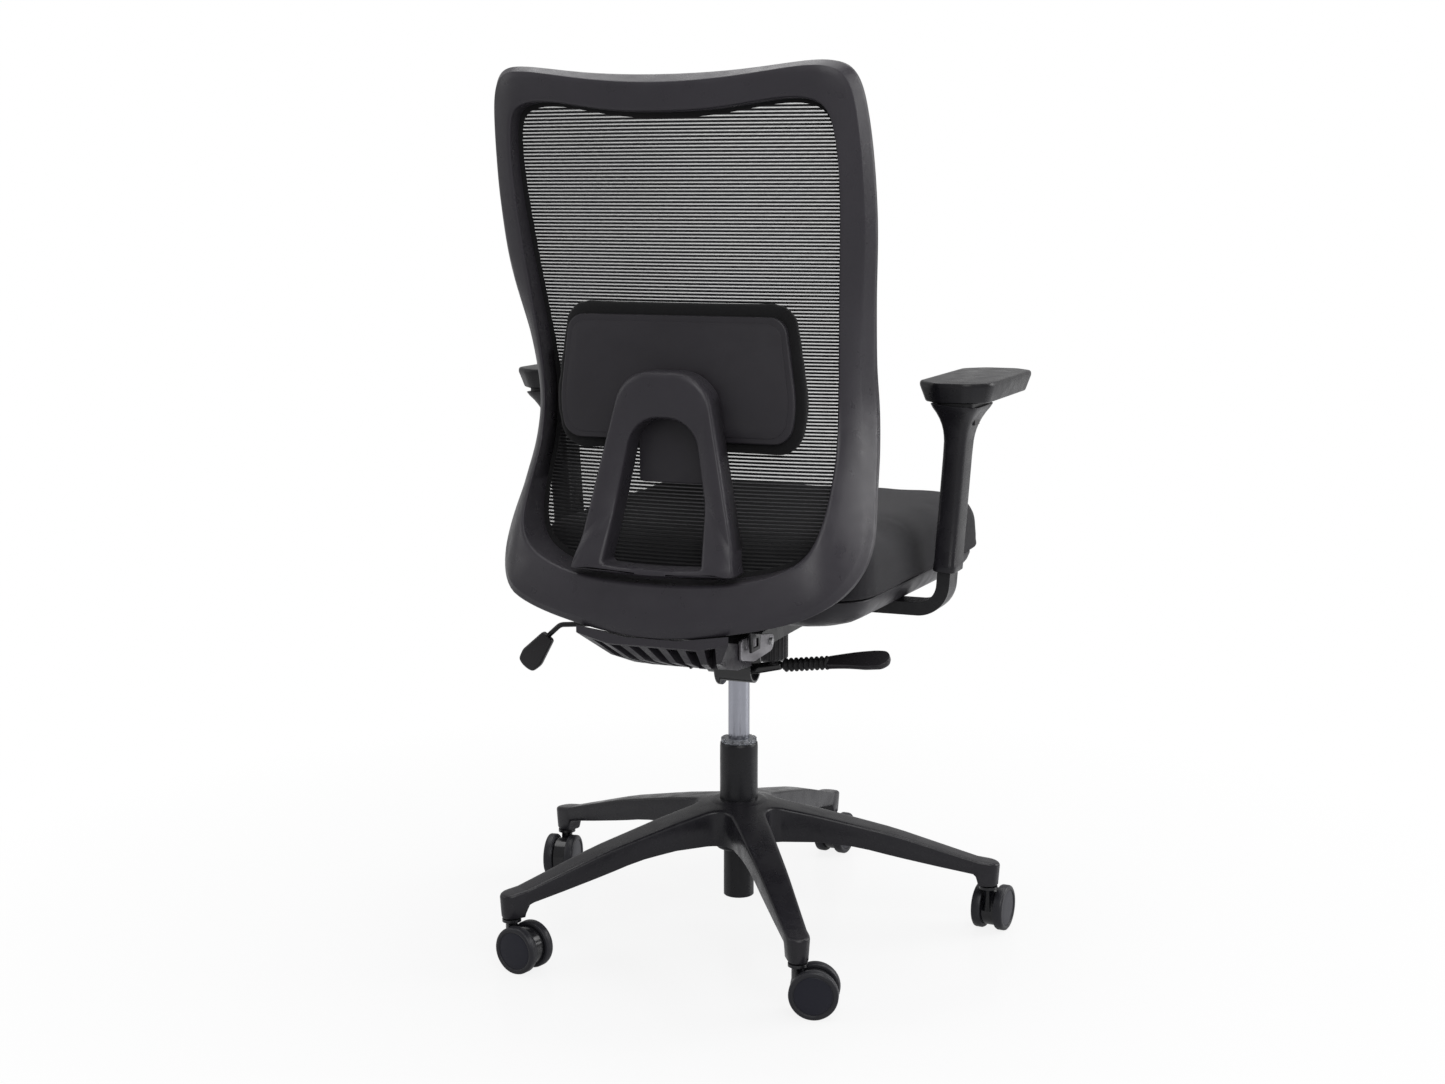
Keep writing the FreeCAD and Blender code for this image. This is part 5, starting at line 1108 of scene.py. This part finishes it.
@dataclass
class Armrest:
    """One armrest: bracket, sleeve, plate, pad and button.

    Attributes:
        post_x: distance of the sleeve's foot from the middle.
        lean: degrees that the sleeve leans outwards.
        barrel: half sizes of the sleeve.
        head: half sizes of the sleeve's top.
        flare: (share of the height, share of the widening) from neck to top.
        cut: length cut off at the pad's corners.
        tuck: how much narrower the pad's underside is, on each side.
    """

    hand: Hand
    post_x: float = 0.266
    y: float = -0.052
    base: float = 0.488
    lean: float = 4.0
    barrel: Point = (0.0143, 0.0248)
    head: Point = (0.031, 0.053)
    neck: float = 0.655
    top: float = 0.7035
    flare: Table = (
        (0.0, 0.02), (0.15, 0.06), (0.3, 0.13), (0.45, 0.24), (0.6, 0.4), (0.75, 0.61), (0.88, 0.84), (1, 1),
    )
    pad_half: float = 0.0485
    pad_reach: float = 0.129
    pad_top: float = 0.7325
    pad_low: float = 0.706
    cut: float = 0.026
    tuck: float = 0.007

    def make(self) -> list[Piece]:
        """Builds the armrest's pieces on its side of the chair."""
        word = self.hand.word
        plate = drawn(rectangle(0.026, -0.046, 0.046, 0.012, 5), [(0.006, 1, 1)])
        node = "arm_plate_" + word
        middle = middle_of(node)
        moved(plate, shift(middle.x, middle.y, 0.701))
        return [
            kept("arm_bracket_" + word, BLACK_PAINT, "seat", 24),
            self.sleeve(),
            dress(settle(plate, "arm_plate_steel_" + word, 40), BLACK_PAINT, "arm_" + word, node),
            kept("arm_button_" + word, KNOB_PLASTIC, "button_" + word),
            self.pad(),
        ]

    def sleeve(self) -> Piece:
        """Leaning sleeve that widens to a head under the pad."""
        word, sign = self.hand.word, self.hand.value
        half_x, half_y = self.barrel
        run, rise = self.neck - self.base, self.top - self.neck
        steps = [(0.0012, 1.03, 1.02), (0.01, 1.03, 1.02)]
        steps += [(height, 1, 1) for height in (0.0112, run * 0.6, run - 0.02)]
        for share, spread in self.flare:
            wide = 1 + spread * (self.head[0] / half_x - 1)
            long = 1 + spread * (self.head[1] / half_y - 1)
            steps.append((run + share * rise, wide, long))
        sleeve = rounded(drawn(rectangle(half_x, -half_y, half_y, 0.0085, 5), steps), 0.0011, 2, 40)
        moved(sleeve, turn(self.lean * sign, "Y"), shift(sign * self.post_x, self.y, self.base))
        made = settle(sleeve, "arm_sleeve_moulding_" + word, 30)
        return dress(made, ARM_PLASTIC, "arm_" + word, "arm_sleeve_" + word)

    def pad(self) -> Piece:
        """Pad with cut corners, narrower at its underside."""
        word, middle = self.hand.word, middle_of("arm_pad_" + self.hand.word)
        half, reach, cut = self.pad_half, self.pad_reach, self.cut
        spots = (
            (-half, -reach + cut), (-half + cut, -reach), (half - cut, -reach), (half, -reach + cut),
            (half, reach - cut), (half - cut, reach), (-half + cut, reach), (-half, reach - cut),
        )
        wall = self.pad_top - self.pad_low
        wide, long = 1 - self.tuck / half, 1 - self.tuck / reach
        soft = moved(outline(spots, 0.009, 5), Matrix.Diagonal((wide, long, 1, 1)))
        drawn(soft, [(wall - 0.0048, 1 / wide, 1 / long), (wall, 1 / wide * 0.978, 1 / long * 0.992)])
        rounded(soft, 0.0022, 3, 24)
        pad = settle(moved(soft, shift(middle.x, middle.y, self.pad_low)), "arm_pad_soft_" + word, 40)
        return dress(pad, ARM_SOFT, "pad_" + word, "arm_pad_" + word)


def polar(radius: float, angle: float, height: float = 0.0) -> Vector:
    """Point at a distance and an angle in radians round the upright axis."""
    return Vector((radius * math.cos(angle), radius * math.sin(angle), height))


@dataclass
class StarBase:
    """Five-legged base.

    Attributes:
        first: angle of the first leg.
        web: radius of the round corners between legs.
        root: distance from the axis at which a leg starts to narrow.
        reach: distance at which it is at its narrowest.
        socket: distance of its socket's axis.
        bore: radius of the hole that the hub stands in.
        step: distances of the points round the step under the socket.
        tops: (distance, height) along the top.
        unders: (distance, height) along the underside.
        layers: (inset, share of the way down, distance from that surface) of the outlines.
        hub: profile (radius, height) of the hub's wall.
    """

    first: float = 51.4
    web: float = 0.019
    hub_half: float = 0.024
    tip_half: float = 0.0145
    root: float = 0.029
    reach: float = 0.316
    socket: float = 0.3305
    bore: float = 0.027
    step: Point = (0.31, 0.3135, 0.3155, 0.317)
    tops: Table = (
        (0.025, 0.174), (0.034, 0.1722), (0.109, 0.157), (0.207, 0.134), (0.316, 0.1002), (0.346, 0.0955),
    )
    unders: Table = (
        (0.025, 0.119), (0.109, 0.12), (0.16, 0.1145), (0.207, 0.103), (0.262, 0.091),
        (0.311, 0.081), (0.315, 0.076), (0.3165, 0.065), (0.346, 0.064),
    )
    layers: Table = (
        (0.011, 0, 0.0), (0.005, 0, 0.0), (0.0018, 0, 0.0003), (0.0005, 0, 0.0014), (0.0, 0, 0.0034),
        (0.0008, 0.5, 0.0), (0.0018, 1, 0.003), (0.003, 1, 0.0008), (0.0055, 1, 0.0),
    )
    hub: Table = (
        (0.0201, 0.1075), (0.029, 0.1075), (0.031, 0.1095), (0.031, 0.117), (0.04, 0.118), (0.04, 0.15),
        (0.038, 0.1716), (0.033, 0.1736), (0.029, 0.1742), (0.0252, 0.1742), (0.0252, 0.17),
    )

    def level(self, table: Line, r: float) -> float:
        """Height at a distance from the hub's axis, read from a table."""
        for (r0, z0), (r1, z1) in zip(table, table[1:]):
            if r <= r1:
                return z0 + (z1 - z0) * max(0.0, (r - r0) / (r1 - r0))
        return table[-1][1]

    def half_at(self, r: float) -> float:
        """Half width of a leg at a distance from the hub's axis."""
        share = min(1.0, (r - self.root) / (self.reach - self.root))
        return self.hub_half + share * (self.tip_half - self.hub_half)

    def ring(self, inset: float) -> list[Vector]:
        """Outline of the whole star seen from above, inset by a little.

        Args:
            inset: how far the outline moves inwards.

        Returns:
            Points (x, y, 0) round the star.
        """
        corner = (self.hub_half + self.web) / math.sin(math.radians(36))
        start = corner * math.cos(math.radians(36))
        spots = [start + (self.step[0] - start) * i / 11 for i in range(12)] + [*self.step[1:], self.socket]
        side = [Vector((r, self.half_at(r) - inset, 0)) for r in spots]
        near = [Vector((p.x, -p.y, 0)) for p in side]
        tip, cap = self.tip_half - inset, []
        for i in range(7, 0, -1):
            angle = math.radians(90 - 180 * i / 8)
            cap.append(Vector((self.socket + tip * math.cos(angle), tip * math.sin(angle), 0)))
        points = []
        for leg in range(5):
            points += [turn(self.first + 72 * leg, "Z") @ p for p in near + cap + side[::-1]]
            between_legs = self.first + 72 * leg + 36
            centre = turn(between_legs, "Z") @ Vector((corner, 0, 0))
            for i in range(1, 6):
                angle = math.radians(between_legs) + math.pi + math.radians(54 - 108 * i / 6)
                points.append(centre + polar(1, angle) * (self.web + inset))
        return points

    def make(self) -> list[Piece]:
        """Builds the star from outlines one above another, with its hub and sockets."""
        bm = bmesh.new()
        chains = []
        for inset, down, edge in self.layers:
            ring = []
            for p in self.ring(inset):
                top, under = self.level(self.tops, p.length), self.level(self.unders, p.length)
                heights = {0: top - edge, 0.5: (top + under) / 2, 1: under + edge}
                ring.append((p.x, p.y, heights[down]))
            chains.append(edge_ring(bm, ring))
        bridged(bm, chains)
        bores = []
        for chain, table in ((chains[0], self.tops), (chains[-1], self.unders)):
            bores.append(edge_ring(bm, [polar(self.bore, math.tau * i / 48, table[0][1]) for i in range(48)]))
            self.close(bm, chain + bores[-1], table)
        bridged(bm, bores)
        star = settle(merged(bm, turned(self.hub, 64, True)), "star_base_moulding", 40)
        return [dress(star, BASE_PLASTIC, "base", "star_base")]

    def close(self, bm: Mesh, chain: list[Edge], table: Line) -> None:
        """Fills the star's top or underside and bends the fill to its heights."""
        before = set(bm.faces)
        bmesh.ops.triangle_fill(bm, use_beauty=True, use_dissolve=False, edges=chain)
        fill = [f for f in bm.faces if f not in before]
        inner = {e for f in fill for e in f.edges} - set(chain)
        cut = bmesh.ops.subdivide_edges(bm, edges=list(inner), cuts=3, use_grid_fill=True)
        rim = {v for e in chain for v in e.verts}
        for item in cut["geom_inner"]:
            if isinstance(item, bmesh.types.BMVert) and item not in rim:
                item.co.z = self.level(table, math.hypot(item.co.x, item.co.y))


@dataclass
class Casters:
    """Five casters with two wheels each.

    Attributes:
        wheel: profile (radius, distance from the caster's middle) of a wheel.
        disc_radius: radius of the wheel's blue-black face.
        disc_from: distance from the caster's middle at which that face starts.
    """

    wheel: Table = (
        (0, 0.0092), (0.008, 0.0092), (0.0092, 0.0112), (0.0236, 0.0112), (0.025, 0.009), (0.0274, 0.0085),
        (0.029, 0.0092), (0.03, 0.0112), (0.03, 0.0186), (0.0295, 0.0202), (0.0281, 0.0212), (0.0262, 0.0215),
        (0.0247, 0.0213), (0.0241, 0.0208), (0.0239, 0.0202), (0.0234, 0.02), (0.0228, 0.0203),
        (0.0215, 0.0205), (0.011, 0.0207), (0, 0.0208),
    )
    disc_radius: float = 0.0236
    disc_from: float = 0.0195

    def make(self) -> list[Piece]:
        """Builds the hoods, pins and wheels."""
        made = []
        places = {joint["name"]: Vector(joint["pos_m"]) for joint in frame["joints"] if "pos_m" in joint}
        for number in range(1, 6):
            body = f"caster_{number}"
            made.append(kept(body + "_housing", CASTER_PLASTIC, body, 26))
            made.append(kept(body + "_pins", STEEL, body))
            for hand in Hand:
                hub = places[f"wheel_{number}_{hand.word}_spin"]
                away = middle_of(f"{body}_wheel_{hand.word}") - hub
                axis = Vector((away.x, away.y, 0)).normalized()
                bm = moved(turned(self.wheel, 56), aimed(hub, axis))
                wheel = settle(bm, f"{body}_wheel_disc_{hand.word}", 38)
                dress(wheel, WHEEL_TREAD, f"wheel_{number}_{hand.word}", f"{body}_wheel_{hand.word}")
                wheel.data.materials.append(WHEEL_DISC.material())
                for face in wheel.data.polygons:
                    along = (face.center - hub).dot(axis)
                    across = (face.center - hub - axis * along).length
                    face.material_index = int(along > self.disc_from and across < self.disc_radius)
                made.append(wheel)
        return made


@dataclass
class Column:
    """Gas column: outer tube, guide bush, chrome cylinder and its small parts.

    Attributes:
        tube: profile (radius, height) of the outer tube's wall.
        cylinder: profile of the chrome cylinder.
    """

    tube: Table = (
        (0.0165, 0.041), (0.0192, 0.041), (0.02, 0.0418), (0.02, 0.108), (0.025, 0.174),
        (0.025, 0.244), (0.0246, 0.249), (0.0238, 0.25), (0.0215, 0.25), (0.0215, 0.175),
        (0.0165, 0.161), (0.0165, 0.05), (0.0052, 0.05), (0.0052, 0.045), (0.0165, 0.045),
    )
    cylinder: Table = (
        (0.0051, 0.124), (0.0132, 0.124), (0.014, 0.125), (0.014, 0.3842),
        (0.0132, 0.385), (0.0036, 0.385), (0.0036, 0.369), (0, 0.369),
    )

    def make(self) -> list[Piece]:
        """Builds the column's pieces."""
        tube = settle(turned(self.tube, 96, True), "column_tube_painted", 40)
        dress(tube, COLUMN_PAINT, "base", "column_tube")
        cylinder = settle(turned(self.cylinder, 96), "gas_cylinder_chrome", 40)
        dress(cylinder, CHROME, "chassis", "gas_cylinder")
        small = (
            ("column_bush", CLEAR, "base"), ("thrust_bearing", STEEL, "base"),
            ("piston_rod", CHROME, "piston"), ("column_clip", STEEL, "piston"), ("valve_pin", STEEL, "valve"),
        )
        return [tube, cylinder, *(kept(*item) for item in small)]


@dataclass
class Mechanism:
    """Tilt mechanism under the seat, with its knob, crossbar and levers.

    Attributes:
        grip: radius of the nut's barrel.
        groove: radius in the barrel's grooves.
        flare: profile (radius, x) of the nut's flared end.
        rib: profile (radius, share of its length) of one rib of the bellows.
        bellows_ends: radius of the bellows' two ends.
        droop: degrees between the bellows and the level.
        arm_root: height at which the height lever's arm leaves the housing.
        arm_slope: degrees by which the arm rises.
        arm_run: length of the rising stretch along X.
        arm_end: X of its end.
        arm_gap: distance from there to the bellows.
        spoon: outline of the height lever's paddle.
        spoon_dish: (length, half width, depth) of its hollow.
        blade: outline of the tilt lever's paddle, the half with positive Y.
        blade_root: where that paddle starts.
        blade_along: direction in which it points.
    """

    bar_y: float = 0.055
    bar_z: float = 0.365
    wire: float = 0.0022
    coil_radius: float = 0.0138
    turns: int = 4
    grip: float = 0.0085
    groove: float = 0.0076
    flare: Table = (
        (0, 0.033), (0.0052, 0.033), (0.0058, 0.0345), (0.0066, 0.0385), (0.0084, 0.0432),
        (0.0098, 0.0444), (0.0098, 0.0452), (0.0085, 0.0456), (0, 0.0448),
    )
    ribs: int = 9
    rib: Table = ((0.0062, 0), (0.0074, 0.16), (0.0088, 0.34), (0.009, 0.48), (0.0086, 0.62), (0.0072, 0.78))
    bellows_length: float = 0.062
    bellows_ends: Point = (0.0062, 0.0066)
    droop: float = 7.5
    arm_root: float = 0.359
    arm_slope: float = 12.0
    arm_run: float = 0.051
    arm_end: float = -0.076
    arm_gap: float = 0.0063
    spoon: Table = (
        (-0.004, -0.008), (0.03, -0.0125), (0.06, -0.015), (0.074, -0.0135), (0.08, -0.005),
        (0.08, 0.006), (0.072, 0.014), (0.05, 0.0148), (0.026, 0.0115), (-0.004, 0.008),
    )
    spoon_dish: Point = (0.08, 0.015, 0.0026)
    blade: Table = ((0.0, 0.0095), (0.0406, 0.017), (0.0551, 0.0136), (0.058, 0.0051))
    blade_root: Point = (0.2866, -0.02, 0.367)
    blade_along: Point = (0.62, 0, -0.78)

    def make(self) -> list[Piece]:
        """Builds the mechanism's pieces and both levers."""
        made = [
            kept("mechanism_housing", BLACK_PAINT, "chassis", 24),
            kept("pivot_pins", STEEL, "chassis"),
            kept("tension_knob", KNOB_PLASTIC, "knob", 20),
            kept("crossbar", GLOSS_PAINT, "chassis"),
        ]
        return made + self.coil() + self.nut() + self.height_lever() + self.tilt_lever()

    def coil(self) -> list[Piece]:
        """Compression spring round the knob's bolt, drawn as a helix."""
        low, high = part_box("tension_spring")
        middle = (low + high) / 2
        wire, steps = self.wire, 28 * self.turns
        bm = bmesh.new()
        bmesh.ops.create_circle(bm, cap_ends=False, segments=10, radius=wire)
        moved(bm, turn(90, "X"), shift(self.coil_radius, 0, low.z + wire))
        bmesh.ops.spin(
            bm, geom=bm.verts[:] + bm.edges[:], cent=(0, 0, 0), axis=(0, 0, 1), angle=math.tau * self.turns,
            steps=steps, use_merge=False, use_duplicate=False,
            dvec=(0, 0, (high.z - low.z - 2 * wire) / steps),
        )
        bmesh.ops.holes_fill(bm, edges=[e for e in bm.edges if e.is_boundary], sides=0)
        moved(bm, shift(middle.x, middle.y, 0))
        return [dress(settle(bm, "tension_spring_coil", 60), STEEL, "chassis", "tension_spring")]

    def nut(self) -> list[Piece]:
        """Ribbed grey barrel and flared black end on the crossbar's side."""
        profile = [(0, 0.0193), (self.grip, 0.0193)]
        for i in range(5):
            base = 0.02 + i * 0.0025
            profile += [(self.grip, base), (self.grip, base + 0.0014)]
            profile += [(self.groove, base + 0.0017), (self.groove, base + 0.0022)]
        profile += [(self.grip, 0.0326), (0.006, 0.0332), (0, 0.0332)]
        spot = aimed((0, self.bar_y, self.bar_z), (1, 0, 0))
        made = []
        for line, name, smooth, finish in (
            (profile, "side_nut_barrel", 30, ZINC), (self.flare, "side_nut_end", 35, GLOSS_PAINT),
        ):
            piece = settle(moved(turned(line, 40), spot), name, smooth)
            made.append(dress(piece, finish, "chassis", "side_nut"))
        return made

    def height_lever(self) -> list[Piece]:
        """Arm, bellows and spoon-shaped paddle of the height lever."""
        arm = kept("height_lever_arm", GLOSS_PAINT, "height_lever", 30)
        droop = math.radians(self.droop)
        along = Vector((-math.cos(droop), 0, math.sin(droop)))
        rise = math.tan(math.radians(self.arm_slope)) * self.arm_run
        start = Vector((self.arm_end, self.bar_y, self.arm_root + rise)) + along * self.arm_gap
        length, step = self.bellows_length, self.bellows_length / self.ribs
        near, far = self.bellows_ends
        profile = [(0.0, 0.0), (near, 0.0)]
        for i in range(self.ribs):
            profile += [(radius, step * (i + 0.08 + share)) for radius, share in self.rib]
        profile += [(far, length), (0.0, length)]
        bellows = settle(moved(turned(profile, 40), aimed(start, along)), "height_lever_bellows_rubber", 70)
        dress(bellows, RUBBER, "height_lever", "height_lever_bellows")

        blade = outline(self.spoon, 0.004, 3)
        drawn(blade, [(0.003, 1.0, 1.0), (0.006, 1.0, 1.0), (0.009, 0.985, 0.9)])
        rounded(blade, 0.0014, 3, 25)
        long_edges = [e for e in blade.edges if e.calc_length() > 0.01]
        bmesh.ops.subdivide_edges(blade, edges=long_edges, cuts=4, use_grid_fill=True)
        self.hollow(blade)
        tilt = Vector((1, 0, 0)).rotation_difference(along).to_matrix().to_4x4()
        moved(blade, turn(30, "X"), tilt, shift(*(start + along * (length + 0.0003))))
        paddle = settle(blade, "height_lever_paddle_moulding", 40)
        dress(paddle, KNOB_PLASTIC, "height_lever", "height_lever_paddle")
        return [arm, bellows, paddle]

    def hollow(self, blade: Mesh) -> None:
        """Presses the spoon's hollow into its top and bends its end down."""
        long, half, depth = self.spoon_dish
        for vert in blade.verts:
            reach, spread = vert.co.x / long, vert.co.y / half
            dish = depth * math.sin(math.pi * min(1.0, max(0.0, reach))) * (1 - min(1.0, spread * spread))
            share = 1.0 if vert.co.z > 0.0055 else 0.25
            vert.co.z -= 0.0045 + dish * share - 0.003 * max(0.0, reach - 0.55)

    def tilt_lever(self) -> list[Piece]:
        """Bent rod of the tilt lock and its flat paddle."""
        rod = kept("tilt_lever_rod", BLACK_PAINT, "tilt_lever", 40)
        blade = outline([(x, -y) for x, y in self.blade] + list(reversed(self.blade)), 0.0035, 4)
        rounded(drawn(blade, [(0.0022, 1.0, 1.0), (0.0068, 1.0, 1.0), (0.009, 0.955, 0.86)]), 0.001, 3, 25)
        along, side = Vector(self.blade_along).normalized(), Vector((0, 1, 0))
        facing = Matrix((along, side.cross(along), side)).transposed().to_4x4()
        moved(blade, shift(0.0012, 0, -0.0045), facing, shift(*self.blade_root))
        paddle = settle(blade, "tilt_lever_paddle_moulding", 35)
        dress(paddle, KNOB_PLASTIC, "tilt_lever", "tilt_lever_paddle")
        return [rod, paddle]


@dataclass
class Studio:
    """Pale floor, soft light and the camera.

    Attributes:
        lens: the camera's focal length in millimetres.
        gloss_share: how much of the bright surround shows in glossy faces.
        lamps: (name, place, size, power) of the soft lamps.
    """

    camera_place: Point = (-0.9963, 2.5742, 0.9647)
    camera_aim: Point = (0.3635, -0.9177, -0.1604)
    lens: float = 53.6
    gloss_share: float = 0.3
    lamps: tuple[tuple[str, Point, float, float], ...] = (
        ("key_softbox", (-1.6, 2.6, 2.4), 2.4, 46.0),
        ("fill_softbox", (2.8, 1.2, 1.6), 2.0, 11.0),
        ("edge_softbox", (-2.6, -1.6, 1.5), 2.0, 40.0),
        ("top_softbox", (0.0, -0.6, 3.0), 3.0, 62.0),
    )

    def make(self) -> None:
        """Builds the stage."""
        self.floor()
        self.world()
        for name, spot, size, power in self.lamps:
            data = bpy.data.lights.new(name, "AREA")
            data.shape, data.size, data.energy = "SQUARE", size, power
            self.stand(linked(name, data), spot, Vector((0, 0, 0.5)) - Vector(spot))
        data = bpy.data.cameras.new("camera")
        data.lens, data.sensor_width = self.lens, 36.0
        data.clip_start, data.clip_end = 0.05, 60.0
        camera = linked("camera", data)
        self.stand(camera, self.camera_place, Vector(self.camera_aim))
        bpy.context.scene.camera = camera

    def stand(self, thing: Piece, spot: Point, facing: Vector) -> None:
        """Places a lamp or the camera and turns it to a direction."""
        thing.location = spot
        thing.rotation_mode = "QUATERNION"
        thing.rotation_quaternion = facing.to_track_quat("-Z", "Y")

    def seen(self, wires: Wiring) -> Socket:
        """1 for rays of the camera and of glass, and a part of it for gloss."""
        path = wires.add("LightPath").outputs
        gloss = wires.times(path["Is Glossy Ray"], self.gloss_share)
        glass = wires.maths("MAXIMUM", gloss, path["Is Transmission Ray"])
        return wires.maths("MAXIMUM", path["Is Camera Ray"], glass)

    def floor(self) -> None:
        """Adds the floor, which fades to white away from the chair."""
        bm = bmesh.new()
        bmesh.ops.create_grid(bm, x_segments=8, y_segments=8, size=15.0)
        floor = settle(bm, "floor", orient=False)
        made = bpy.data.materials.new("floor_white")
        made.use_nodes = True
        wires = Wiring(made.node_tree)
        shader = made.node_tree.nodes["Principled BSDF"]
        colour = wires.blend(self.seen(wires), (0.4, 0.4, 0.42, 1.0), (0.93, 0.93, 0.94, 1.0))
        for label, value in (("Base Color", colour), ("Roughness", 0.16), ("Specular IOR Level", 0.35)):
            wires.feed(value, shader.inputs[label])
        glow = wires.add("Emission", Strength=1.0)
        away = wires.add("VectorMath", operation="LENGTH")
        wires.feed(wires.place(), away.inputs[0])
        fade = wires.spread(away.outputs["Value"], 0.4, 1.2, 0.86, 1.0)
        mix = wires.add("MixShader")
        share = wires.times(self.seen(wires), fade)
        for value, socket in zip((share, shader.outputs[0], glow.outputs[0]), mix.inputs):
            wires.feed(value, socket)
        wires.feed(mix.outputs[0], made.node_tree.nodes["Material Output"].inputs["Surface"])
        floor.data.materials.append(made)

    def world(self) -> None:
        """Sets the white surround: plain light on the chair, pure white when seen."""
        world = bpy.data.worlds.new("studio")
        bpy.context.scene.world = world
        world.use_nodes = True
        wires = Wiring(world.node_tree)
        shell = world.node_tree.nodes["Background"]
        shell.inputs["Color"].default_value = (1.0, 1.0, 1.0, 1.0)
        wires.feed(wires.spread(self.seen(wires), 0.0, 1.0, 0.16, 1.0), shell.inputs["Strength"])


def main() -> None:
    """Builds the chair, one sub-assembly after another, and its stage."""
    logging.basicConfig(level=logging.INFO, format="%(name)s: %(message)s")
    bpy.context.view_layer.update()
    scene = bpy.context.scene
    scene.view_settings.view_transform = "Standard"
    Studio().make()
    builders = [
        StarBase(), Casters(), Column(), Mechanism(), Bracket(), Back(BackSurface()), Lumbar(), Seat(),
        Armrest(Hand.LEFT), Armrest(Hand.RIGHT),
    ]
    for builder in builders:
        for piece in builder.make():
            log.info("%s: %s", type(builder).__name__, piece.name)


if __name__ == "__main__":
    main()
